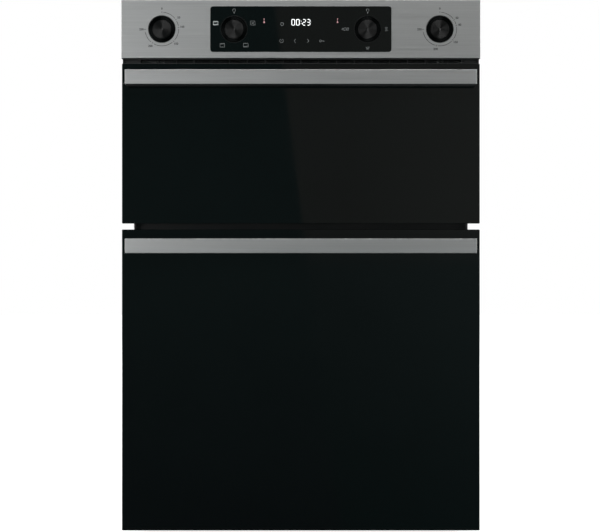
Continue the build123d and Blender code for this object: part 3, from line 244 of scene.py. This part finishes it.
def clear_glass(name, tint, rough=0.02):
    """Window or lamp glass."""
    made, tree, shader = new_material(name)
    ripple = noise(tree, coords(tree), 30.0, 2.0)
    colour = ramp(tree, ripple, (0.2, tint), (0.9, shade(tint, 0.96)))
    tree.links.new(colour, shader.inputs["Base Color"])
    tree.links.new(spread(tree, ripple, rough, rough + 0.03), shader.inputs["Roughness"])
    shader.inputs["Transmission Weight"].default_value = 1.0
    shader.inputs["IOR"].default_value = 1.5
    bump(tree, shader, ripple, 0.00002, 0.2)
    return made


def galvanised(name, level=0.62, rough=(0.40, 0.56)):
    """Zinc-coated sheet with its spangle."""
    made, tree, shader = new_material(name)
    shader.inputs["Metallic"].default_value = 0.9
    cell_colour, _ = cells(tree, SPANGLE)
    crystals = tree.nodes.new("ShaderNodeSeparateColor")
    tree.links.new(cell_colour, crystals.inputs["Color"])
    marks = noise(tree, coords(tree), 14.0, 6.0, 0.65)
    tones = weighted(tree, crystals.outputs[0], 0.5, marks)
    cool = grey(level * 0.88, (0.98, 1.0, 1.02))
    colour = ramp(tree, tones, (0.3, cool), (0.9, grey(level * 1.08)))
    tree.links.new(colour, shader.inputs["Base Color"])
    tree.links.new(spread(tree, crystals.outputs[0], *rough, 0.0, 1.0), shader.inputs["Roughness"])
    bump(tree, shader, marks, 0.0001, 0.25)
    return made


def coated(name, colour, rough, grain=900.0, depth=0.00004, speckle=None):
    """Paint, moulded plastic or enamel: a fine skin, a little uneven, with optional speckles."""
    made, tree, shader = new_material(name)
    skin = noise(tree, coords(tree), grain, 3.0)
    patches = noise(tree, coords(tree), 18.0, 4.0)
    tone = ramp(tree, patches, (0.25, shade(colour, 0.85)), (0.75, shade(colour, 1.15)))
    if speckle is not None:
        _, distance = cells(tree, SPECKLES)
        tone = mixed(tree, spread(tree, distance, 1.0, 0.0, 0.12, 0.2), tone, speckle)
    tree.links.new(tone, shader.inputs["Base Color"])
    tree.links.new(spread(tree, patches, rough * 0.85, rough * 1.2), shader.inputs["Roughness"])
    bump(tree, shader, skin, depth, 0.5)
    return made


def bare_metal(name, colour, rough, stretch):
    """Plain or drawn metal with faint marks along its working direction."""
    made, tree, shader = new_material(name)
    shader.inputs["Metallic"].default_value = 1.0
    marks = noise(tree, coords(tree, stretch), 1.0, 5.0, 0.6)
    tone = ramp(tree, marks, (0.3, shade(colour, 0.85)), (0.8, shade(colour, 1.1)))
    tree.links.new(tone, shader.inputs["Base Color"])
    tree.links.new(spread(tree, marks, rough * 0.8, rough * 1.25), shader.inputs["Roughness"])
    bump(tree, shader, marks, 0.00003, 0.3)
    return made


def heated_tube(name):
    """Steel tube darkened and tinted by heat along its length."""
    made, tree, shader = new_material(name)
    shader.inputs["Metallic"].default_value = 0.85
    bands = noise(tree, coords(tree, (6.0, 6.0, 6.0)), 1.0, 4.0, 0.6)
    colour = ramp(tree, bands, (0.3, (0.05, 0.045, 0.043)), (0.55, (0.11, 0.09, 0.075)),
                  (0.8, (0.07, 0.07, 0.085)))
    tree.links.new(colour, shader.inputs["Base Color"])
    tree.links.new(spread(tree, bands, 0.38, 0.6), shader.inputs["Roughness"])
    bump(tree, shader, noise(tree, coords(tree), 1200.0), 0.00005, 0.4)
    return made


def woven_gasket(name):
    """Braided glass-fibre seal."""
    made, tree, shader = new_material(name)
    braid = tree.nodes.new("ShaderNodeTexWave")
    braid.wave_type = "BANDS"
    braid.bands_direction = "DIAGONAL"
    braid.inputs["Scale"].default_value = 260.0
    braid.inputs["Distortion"].default_value = 2.0
    tree.links.new(coords(tree), braid.inputs["Vector"])
    colour = ramp(tree, braid.outputs["Fac"], (0.1, grey(0.045)), (0.9, grey(0.14)))
    tree.links.new(colour, shader.inputs["Base Color"])
    tree.links.new(spread(tree, braid.outputs["Fac"], 0.95, 0.75, 0.0, 1.0), shader.inputs["Roughness"])
    bump(tree, shader, braid.outputs["Fac"], 0.0004, 0.8)
    return made


def glass_wool(name):
    """Yellowish fibre mat."""
    made, tree, shader = new_material(name)
    fibres = noise(tree, coords(tree, (90.0, 90.0, 700.0)), 1.0, 8.0, 0.7)
    clumps = noise(tree, coords(tree), 28.0, 5.0, 0.6)
    colour = ramp(tree, clumps, (0.25, (0.42, 0.31, 0.12)), (0.75, (0.66, 0.55, 0.28)))
    tree.links.new(colour, shader.inputs["Base Color"])
    shader.inputs["Roughness"].default_value = 0.95
    shader.inputs["Sheen Weight"].default_value = 0.3
    bump(tree, shader, fibres, 0.002, 0.8)
    return made


def spun_knob(name, centre_x):
    """A black knob: its face is spun in fine circles, its rim and skirt are satin."""
    made, tree, shader = new_material(name)
    radius = length(tree, coords(tree, (1.0, 0.0, 1.0), (centre_x, 0.0, CONTROL_Z)))
    rings = tree.nodes.new("ShaderNodeTexNoise")
    rings.noise_dimensions = "1D"
    rings.inputs["Scale"].default_value = SPIN_RINGS
    rings.inputs["Detail"].default_value = 4.0
    tree.links.new(radius, rings.inputs["W"])
    on_rim = spread(tree, radius, 0.0, 1.0, FACE_RADIUS - FACE_BLEND, FACE_RADIUS + FACE_BLEND)
    face = ramp(tree, rings.outputs["Fac"], (0.3, grey(0.020)), (0.7, grey(0.030)))
    tree.links.new(mixed(tree, on_rim, face, KNOB_BLACK), shader.inputs["Base Color"])
    tree.links.new(spread(tree, on_rim, 0.36, 0.28, 0.0, 1.0), shader.inputs["Roughness"])
    shader.inputs["Metallic"].default_value = 0.9
    shader.inputs["Anisotropic"].default_value = 0.97
    shader.inputs["Anisotropic Rotation"].default_value = 0.25
    tangent = tree.nodes.new("ShaderNodeTangent")
    tangent.direction_type = "RADIAL"
    tangent.axis = "Y"
    tree.links.new(tangent.outputs["Tangent"], shader.inputs["Tangent"])
    bump(tree, shader, rings.outputs["Fac"], 0.00001, 0.3)
    return made


def printed(name, colour, glow=0.0):
    """Screen-printed ink, a little uneven, lit from behind where it glows."""
    made, tree, shader = new_material(name)
    grain = noise(tree, coords(tree), 2500.0, 2.0)
    tone = ramp(tree, grain, (0.2, shade(colour, 0.85)), (0.7, colour))
    tree.links.new(tone, shader.inputs["Base Color"])
    tree.links.new(spread(tree, grain, 0.45, 0.6), shader.inputs["Roughness"])
    if glow > 0.0:
        tree.links.new(tone, shader.inputs["Emission Color"])
        shader.inputs["Emission Strength"].default_value = glow
    return made


MATERIALS = {
    "brushed_front": brushed_steel("brushed_front", 0.50),
    "black_glass": black_glass("black_glass"),
    "clear_glass": clear_glass("clear_glass", (0.90, 0.95, 0.93)),
    "lamp_glass": clear_glass("lamp_glass", (0.97, 0.97, 0.94), 0.08),
    "galvanised_sheet": galvanised("galvanised_sheet"),
    "aluminised_sheet": galvanised("aluminised_sheet", 0.72, (0.32, 0.45)),
    "black_coated_steel": coated("black_coated_steel", (0.006, 0.007, 0.007), 0.42),
    "enamel": coated("enamel", (0.014, 0.015, 0.020), 0.24, 300.0, 0.00003, (0.07, 0.08, 0.10)),
    "black_plastic": coated("black_plastic", (0.006, 0.007, 0.007), 0.5, 1400.0, 0.00005),
    "runner_plastic": coated("runner_plastic", (0.014, 0.014, 0.014), 0.6, 800.0, 0.0001),
    "light_plastic": coated("light_plastic", (0.46, 0.45, 0.40), 0.45, 900.0, 0.00005),
    "ceramic": coated("ceramic", (0.70, 0.68, 0.62), 0.25, 500.0, 0.00005),
    "chromed_wire": bare_metal("chromed_wire", (0.72, 0.73, 0.74), 0.12, (220.0, 40.0, 220.0)),
    "fan_steel": bare_metal("fan_steel", (0.45, 0.44, 0.42), 0.35, (90.0, 90.0, 90.0)),
    "hinge_steel": bare_metal("hinge_steel", (0.50, 0.50, 0.47), 0.4, (300.0, 300.0, 60.0)),
    "motor_metal": bare_metal("motor_metal", (0.30, 0.30, 0.29), 0.45, (40.0, 1400.0, 40.0)),
    "heater_tube": heated_tube("heater_tube"),
    "gasket": woven_gasket("gasket"),
    "glass_wool": glass_wool("glass_wool"),
}
WHITE_INK = printed("white_ink", (0.42, 0.45, 0.45), 0.12)
DIM_INK = printed("dim_ink", (0.14, 0.15, 0.15), 0.06)
DARK_INK = printed("dark_ink", (0.012, 0.013, 0.014))
CLOCK_GLOW = printed("clock_glow", (0.90, 0.92, 0.92), 0.75)
PILOT_GLOW = printed("pilot_glow", (0.50, 0.26, 0.27), 0.35)


def dress_cad_nodes():
    """Give every CAD node its finish."""
    slots = {part["node"]: part["material_slot"] for part in frame["record"]["subparts"]}
    for name, node in frame["nodes"].items():
        knob = name.replace("knob_", "")
        if name.startswith("knob_") and knob in KNOBS:
            finish = spun_knob("spun_" + name, KNOB_X[knob])
        elif name == "knob_bezels":
            finish = coated("bezel_black", KNOB_BLACK, 0.28, 1400.0, 0.00002)
        else:
            finish = MATERIALS[slots[name]]
        node.data.materials.clear()
        node.data.materials.append(finish)


# ---------------------------------------------------------------- printed marks
# A mark is drawn about a centre (x, z) in metres; its own points and sizes are in millimetres.
INK = 0.06 * MM                            # thickness of printed marks
PANEL = (0.0, CONTROL_Z)
CLOCK = (0.0, CONTROL_Z + 11.2 * MM)
KEYS = (0.0, CONTROL_Z - 19.6 * MM)


def at(angle, radius):
    """The point at a radius, and at an angle clockwise from the top."""
    turn = math.radians(angle)
    return radius * math.sin(turn), radius * math.cos(turn)


def arc(middle_point, radius, start, end, steps):
    """Points on a circle from one angle to another."""
    turns = [start + (end - start) * step / steps for step in range(steps + 1)]
    offsets = [at(turn, radius) for turn in turns]
    return [(middle_point[0] + x, middle_point[1] + z) for x, z in offsets]


def circle(middle_point, radius, steps):
    """Points all round a circle."""
    return arc(middle_point, radius, 0, 360, steps)[:-1]


def placed(centre, points):
    """Points in metres, from points in millimetres about a centre."""
    return [(centre[0] + x * MM, centre[1] + z * MM) for x, z in points]


def raised(mesh, points):
    """Vertices at the face of the ink and on the surface under it."""
    front = [mesh.verts.new((x, FRONT_Y - INK, z)) for x, z in points]
    back = [mesh.verts.new((x, FRONT_Y, z)) for x, z in points]
    return front, back


def stroke(mesh, centre, points, width, closed=False):
    """Add a flat mitred strip along points."""
    points = placed(centre, points)
    count = len(points)
    sides = ([], [])
    for index, (x, z) in enumerate(points):
        before = points[index - 1] if closed or index > 0 else None
        after = points[(index + 1) % count] if closed or index < count - 1 else None
        ahead = (Vector(after) - Vector((x, z))).normalized() if after else None
        behind = (Vector((x, z)) - Vector(before)).normalized() if before else None
        ahead = ahead or behind
        behind = behind or ahead
        along = (ahead + behind).normalized()
        across = Vector((-along.y, along.x))
        square = Vector((-ahead.y, ahead.x))
        reach = width * MM / 2 / max(0.4, across.dot(square))
        sides[0].append((x + across.x * reach, z + across.y * reach))
        sides[1].append((x - across.x * reach, z - across.y * reach))
    rails = [raised(mesh, side) for side in sides]
    last = count if closed else count - 1
    for index in range(last):
        after = (index + 1) % count
        for layer in (0, 1):
            left, right = rails[0][layer], rails[1][layer]
            mesh.faces.new((left[index], right[index], right[after], left[after]))
        for front, back in rails:
            mesh.faces.new((front[index], front[after], back[after], back[index]))
    if not closed:
        for index in (0, count - 1):
            (front_a, back_a), (front_b, back_b) = rails
            mesh.faces.new((front_a[index], front_b[index], back_b[index], back_a[index]))


def disc(mesh, centre, place, radius):
    """Add a small round dot."""
    front, back = raised(mesh, placed(centre, circle(place, radius, 20)))
    mesh.faces.new(front)
    mesh.faces.new(back)
    for index in range(len(front)):
        after = (index + 1) % len(front)
        mesh.faces.new((front[index], front[after], back[after], back[index]))


def loop(mesh, centre, place, size, line, corner):
    """Add a rounded rectangular outline."""
    reach_x, reach_z = size[0] / 2 - corner, size[1] / 2 - corner
    points = []
    for side_x, side_z, start in ((1, 1, 0), (1, -1, 90), (-1, -1, 180), (-1, 1, 270)):
        bend = (place[0] + side_x * reach_x, place[1] + side_z * reach_z)
        points += arc(bend, corner, start, start + 90, 4)
    stroke(mesh, centre, points, line, closed=True)


def add_text(mesh, words, centre, place, size, weight=0.12):
    """Add raised characters, centred on a place, in Blender's own font."""
    (x, z), = placed(centre, [place])
    curve = bpy.data.curves.new("characters", "FONT")
    curve.body = words
    curve.size = size * MM
    curve.extrude = INK / 2
    curve.offset = weight * MM
    curve.resolution_u = 3
    curve.align_x = "CENTER"
    curve.align_y = "CENTER"
    holder = bpy.data.objects.new("characters", curve)
    data = bpy.data.meshes.new_from_object(holder)
    depth = FRONT_Y - INK / 2
    corners = [mesh.verts.new((x + v.co.x, depth - v.co.z, z + v.co.y)) for v in data.vertices]
    for face in data.polygons:
        mesh.faces.new([corners[index] for index in face.vertices])
    bpy.data.objects.remove(holder)
    bpy.data.meshes.remove(data)
    bpy.data.curves.remove(curve)


def new_object(name, mesh, material):
    """Turn a bmesh into an object of one material."""
    data = bpy.data.meshes.new(name)
    mesh.to_mesh(data)
    mesh.free()
    data.materials.append(material)
    made = bpy.data.objects.new(name, data)
    SCENE.collection.objects.link(made)
    return made


def finish_mesh(name, mesh, ink, body="carcass"):
    """Turn a bmesh of marks into a piece that rides on a body."""
    bmesh.ops.recalc_face_normals(mesh, faces=mesh.faces)
    piece = new_object(name, mesh, ink)
    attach(piece, body)


# Thermostat scales, printed on the steel: (angle, number) clockwise from the top.
SCALES = {
    "far_left": ((0, "0"), (56, "50"), (84, "100"), (136, "150"), (214, "200"), (269, "250")),
    "far_right": ((0, "0"), (57, "50"), (78, "80"), (130, "150"), (192, "200"), (269, "250")),
}
SCALE_RADIUS = 27.8
SCALE_GAP = 5.0                            # degrees left clear beside each tick
SCALE_END = 264.0
TICK_RADII = (26.6, 29.2)
NUMBER_RADIUS = 33.8
NUMBER_SIZE = 4.9


def thermostat_scale(name):
    """The printed arc, ticks and numbers round a thermostat knob."""
    mesh = bmesh.new()
    axis = (KNOB_X[name], CONTROL_Z)
    stops = [angle for angle, _ in SCALES[name]]
    for start, end in zip(stops, stops[1:]):
        first = start + SCALE_GAP
        last = min(end, SCALE_END) - SCALE_GAP
        stroke(mesh, axis, arc((0, 0), SCALE_RADIUS, first, last, 14), 0.75)
    for angle, number in SCALES[name]:
        stroke(mesh, axis, [at(angle, radius) for radius in TICK_RADII], 0.8)
        add_text(mesh, number, axis, at(angle, NUMBER_RADIUS), NUMBER_SIZE)
    finish_mesh("scale_" + name, mesh, DARK_INK)


def lamp_icon(mesh, centre):
    """A small light bulb."""
    stroke(mesh, centre, arc((0, 1.2), 2.3, -140, 140, 14), 0.6)
    stroke(mesh, centre, [(-1.3, -1.7), (1.3, -1.7)], 0.6)
    disc(mesh, centre, (0, -3.2), 0.8)


def oven_icon(mesh, centre, bars):
    """A small cavity outline with bars for what heats it: 1 at the top, -1 at the bottom."""
    loop(mesh, centre, (0, 0), (7.6, 6.0), 0.6, 0.5)
    for side in bars:
        stroke(mesh, centre, [(-2.9, side * 2.0), (2.9, side * 2.0)], 0.6)


def grill_icon(mesh, centre):
    """A grill element: a bar over a zigzag."""
    stroke(mesh, centre, [(-3.2, 1.9), (3.2, 1.9)], 0.6)
    teeth = [((step - 3) * 0.8, 0.6 if step % 2 else -1.5) for step in range(7)]
    stroke(mesh, centre, teeth, 0.45)


def fan_icon(mesh, centre, framed):
    """A fan: four blades, in a frame or between two bars."""
    for turn in range(45, 405, 90):
        stroke(mesh, centre, [at(turn, 0.5), at(turn, 2.2)], 0.7)
    if framed:
        loop(mesh, centre, (0, 0), (7.4, 6.4), 0.5, 0.5)
        return
    for side in (-1, 1):
        stroke(mesh, centre, [(-2.4, side * 2.7), (2.4, side * 2.7)], 0.5)


def defrost_icon(mesh, centre):
    """Three small signs in a row: a drop line, a cavity and a crossed cavity."""
    drops = [(-5.6 + 0.9 * step, 1.6 if step % 2 else -1.6) for step in range(4)]
    stroke(mesh, centre, drops, 0.45)
    for place in (-0.4, 3.9):
        loop(mesh, centre, (place, 0), (3.4, 3.9), 0.45, 0.3)
    stroke(mesh, centre, [(3.0, -1.3), (4.8, 1.3)], 0.4)


def from_knob(name, angle, radius):
    """A centre for a mark, at an angle and a radius about a knob's axis."""
    (centre,) = placed((KNOB_X[name], CONTROL_Z), [at(angle, radius)])
    return centre


def selector_icons():
    """The symbols round the two function selectors on the display glass."""
    mesh = bmesh.new()
    oven_icon(mesh, from_knob("near_left", -72, 32.0), (1, -1))
    finish_mesh("selector_icon_both", mesh, WHITE_INK)
    mesh = bmesh.new()
    lamp_icon(mesh, from_knob("near_left", 0, 30.0))
    fan_icon(mesh, from_knob("near_left", 72, 32.5), True)
    oven_icon(mesh, from_knob("near_left", 144, 33.0), (-1,))
    oven_icon(mesh, from_knob("near_left", 216, 33.0), (1,))
    finish_mesh("selector_icons_left", mesh, DIM_INK)
    mesh = bmesh.new()
    lamp_icon(mesh, from_knob("near_right", 0, 30.0))
    defrost_icon(mesh, from_knob("near_right", 270, 37.0))
    fan_icon(mesh, from_knob("near_right", 90, 31.0), False)
    grill_icon(mesh, from_knob("near_right", 180, 32.0))
    finish_mesh("selector_icons_right", mesh, DIM_INK)


# The clock: where each digit stands, its size, and the strokes it lights, clockwise from the top.
DIGIT_PLACES = ((-12.6, "0"), (-5.0, "0"), (5.4, "2"), (12.8, "3"))
DIGIT_WIDTH, DIGIT_HEIGHT = 4.8, 9.6
DIGIT_LINE = 1.1
DIGIT_GAP = 0.75                           # cut off each end of a stroke
DIGIT_STROKES = {"2": ("top", "upper_right", "middle", "lower_left", "bottom"),
                 "3": ("top", "upper_right", "middle", "lower_right", "bottom")}


def clock_digit(mesh, digit, x):
    """One digit of the clock: a loop for 0, and strokes for the others."""
    if digit == "0":
        loop(mesh, CLOCK, (x, 0), (DIGIT_WIDTH, DIGIT_HEIGHT), DIGIT_LINE, 1.6)
        return
    left, right = x - DIGIT_WIDTH / 2, x + DIGIT_WIDTH / 2
    low, high = -DIGIT_HEIGHT / 2, DIGIT_HEIGHT / 2
    ends = {"top": ((left, high), (right, high)), "upper_right": ((right, high), (right, 0)),
            "middle": ((left, 0), (right, 0)), "lower_left": ((left, 0), (left, low)),
            "lower_right": ((right, 0), (right, low)), "bottom": ((left, low), (right, low))}
    for name in DIGIT_STROKES[digit]:
        start, end = (Vector(point) for point in ends[name])
        along = (end - start).normalized() * DIGIT_GAP
        stroke(mesh, CLOCK, [tuple(start + along), tuple(end - along)], DIGIT_LINE)


def clock():
    """The time shown on the display."""
    mesh = bmesh.new()
    for x, digit in DIGIT_PLACES:
        clock_digit(mesh, digit, x)
    for side in (-1, 1):
        disc(mesh, CLOCK, (0.4, side * 2.0), 0.65)
    finish_mesh("clock_digits", mesh, CLOCK_GLOW)


def touch_symbols():
    """The ring beside the clock, and the timer, the two arrows and the key below it."""
    mesh = bmesh.new()
    stroke(mesh, PANEL, circle((-31.0, 8.3), 2.5, 24), 0.7, closed=True)
    stroke(mesh, KEYS, arc((-32.0, 0), 3.0, 20, 340, 20), 0.7)
    stroke(mesh, KEYS, [(-32.0, 1.6), (-32.0, 0)], 0.6)
    for x, tip in ((-10.0, -1.4), (12.0, 1.4)):
        stroke(mesh, KEYS, [(x - tip, 3.0), (x + tip, 0), (x - tip, -3.0)], 0.7)
    stroke(mesh, KEYS, circle((32.4, 0), 1.7, 16), 0.6, closed=True)
    stroke(mesh, KEYS, [(34.3, 0), (38.2, 0), (38.2, -1.4)], 0.7)
    finish_mesh("touch_symbols", mesh, DIM_INK)


def pilot_lights():
    """A thermometer sign on each side of the clock."""
    mesh = bmesh.new()
    for x in (-60.7, 60.7):
        disc(mesh, PANEL, (x, 16.6), 0.8)
        disc(mesh, PANEL, (x, 11.3), 1.2)
        stroke(mesh, PANEL, [(x - 0.2, 12.3), (x - 0.2, 14.8)], 0.5)
    finish_mesh("pilot_lights", mesh, PILOT_GLOW)


# ---------------------------------------------------------------- stage
FLOOR_RADIUS = 9.0
CARD_DISTANCE = 5.728                      # from the doors to the card behind the camera
CARD_REACH_X, CARD_REACH_Z = 3.0, 3.4

# The slanting edge that the glass mirrors: a point (x, z) of it as seen on the doors' plane.
EDGE_X, EDGE_Z = -0.037, 0.840
EDGE_SLANT = 0.128                         # to the right for each unit down
EDGE_BLEND = 0.012

# On the card, in its own coordinates: x, and z from the camera's height.
MIRROR_SCALE = 1 + CARD_DISTANCE / CAMERA_DISTANCE
CARD_LOW = MIRROR_SCALE * (cad_box[0][2] - CAMERA_HEIGHT)
CARD_HIGH = MIRROR_SCALE * (cad_box[1][2] - CAMERA_HEIGHT)
EDGE_AT = MIRROR_SCALE * (EDGE_X + EDGE_SLANT * (EDGE_Z - CAMERA_HEIGHT))
LEFT_CARD = ((0.0, (0.045, 0.056, 0.062)), (0.45, (0.076, 0.112, 0.112)), (1.0, (0.068, 0.104, 0.104)))
RIGHT_CARD = ((0.0, (0.037, 0.062, 0.062)), (0.5, (0.092, 0.125, 0.125)), (0.58, (0.165, 0.170, 0.160)))


def floor_material():
    """Matte white, partly self-lit, so that it stays pale and even and still takes a soft shadow."""
    made, tree, shader = new_material("pale_floor")
    shader.inputs["Base Color"].default_value = (0.8, 0.8, 0.8, 1.0)
    shader.inputs["Roughness"].default_value = 0.9
    shader.inputs["Specular IOR Level"].default_value = 0.0
    shader.inputs["Emission Color"].default_value = (1.0, 1.0, 1.0, 1.0)
    glow = spread(tree, length(tree, coords(tree)), 0.80, 1.0, 0.6, 3.5)
    tree.links.new(glow, shader.inputs["Emission Strength"])
    return made


def make_floor():
    """A plain pale floor, left out of mirror reflections as the oven stands clear of any floor."""
    mesh = bmesh.new()
    mesh.faces.new([mesh.verts.new((x, y, 0.0)) for x, y in circle((0, 0), FLOOR_RADIUS, 96)])
    floor = new_object("floor", mesh, floor_material())
    floor.location = (0.0, 0.0, cad_box[0][2])
    floor.visible_glossy = False


def card_material():
    """What the black glass mirrors: a dim room, a little lighter to the right of a slanting edge."""
    made, tree, shader = new_material("studio_card")
    tree.nodes.remove(shader)
    place = tree.nodes.new("ShaderNodeSeparateXYZ")
    tree.links.new(coords(tree), place.inputs[0])
    across = weighted(tree, place.outputs["Z"], EDGE_SLANT, place.outputs["X"])
    side = spread(tree, across, 0.0, 1.0, EDGE_AT - EDGE_BLEND, EDGE_AT + EDGE_BLEND)
    height = spread(tree, place.outputs["Z"], 0.0, 1.0, CARD_LOW, CARD_HIGH)
    lit = tree.nodes.new("ShaderNodeVectorMath")
    lit.operation = "SCALE"
    tree.links.new(ramp(tree, height, *RIGHT_CARD), lit.inputs[0])
    tree.links.new(spread(tree, place.outputs["X"], 1.0, 1.35, 0.3, 1.2), lit.inputs["Scale"])
    colour = mixed(tree, side, ramp(tree, height, *LEFT_CARD), lit.outputs["Vector"])
    glow = tree.nodes.new("ShaderNodeEmission")
    tree.links.new(colour, glow.inputs["Color"])
    tree.links.new(glow.outputs["Emission"], tree.nodes["Material Output"].inputs["Surface"])
    return made


def make_card():
    """A large dim card behind the camera, seen only in mirror reflections."""
    corners = ((-1, -1), (1, -1), (1, 1), (-1, 1))
    mesh = bmesh.new()
    mesh.faces.new([mesh.verts.new((x * CARD_REACH_X, 0.0, z * CARD_REACH_Z)) for x, z in corners])
    card = new_object("card", mesh, card_material())
    card.location = (CAMERA_X, FRONT_Y - CARD_DISTANCE, CAMERA_HEIGHT)
    card.visible_camera = False
    card.visible_diffuse = False
    card.visible_shadow = False


# ---------------------------------------------------------------- light
AIM = Vector((0.0, 0.0, 0.5))
LIGHTS = (                                 # name, place, size, power in watts
    ("left_box", (-2.3, -3.5, 0.70), (1.3, 2.0), 42.5),
    ("right_box", (2.5, -3.3, 0.35), (1.2, 1.8), 19.5),
    ("top_box", (0.1, -2.6, 3.1), (1.6, 1.0), 44.0),
    ("back_left_box", (-2.6, 3.0, 1.6), (2.0, 2.2), 110.0),
    ("back_right_box", (3.2, 2.2, 1.8), (2.0, 2.2), 110.0),
)


def make_light(name, place, size, power):
    """A soft area light aimed at the middle of the oven."""
    lamp = bpy.data.lights.new(name, "AREA")
    lamp.shape = "RECTANGLE"
    lamp.size, lamp.size_y = size
    lamp.energy = power
    light = bpy.data.objects.new(name, lamp)
    light.location = place
    light.rotation_euler = (AIM - Vector(place)).to_track_quat("-Z", "Y").to_euler()
    SCENE.collection.objects.link(light)


def make_world():
    """White to the camera, a dim even studio to everything else."""
    world = bpy.data.worlds.new("studio")
    world.use_nodes = True
    SCENE.world = world
    tree = world.node_tree
    studio = tree.nodes["Background"]
    studio.inputs["Color"].default_value = (0.92, 0.97, 1.0, 1.0)
    studio.inputs["Strength"].default_value = 0.10
    seen = tree.nodes.new("ShaderNodeBackground")
    seen.inputs["Color"].default_value = (1.0, 1.0, 1.0, 1.0)
    seen.inputs["Strength"].default_value = 1.0
    path = tree.nodes.new("ShaderNodeLightPath")
    mix = tree.nodes.new("ShaderNodeMixShader")
    tree.links.new(path.outputs["Is Camera Ray"], mix.inputs["Fac"])
    tree.links.new(studio.outputs["Background"], mix.inputs[1])
    tree.links.new(seen.outputs["Background"], mix.inputs[2])
    tree.links.new(mix.outputs["Shader"], tree.nodes["World Output"].inputs["Surface"])


make_camera()
make_world()
for light_row in LIGHTS:
    make_light(*light_row)
make_floor()
make_card()
dress_cad_nodes()
for scale_name in SCALES:
    thermostat_scale(scale_name)
selector_icons()
clock()
touch_symbols()
pilot_lights()
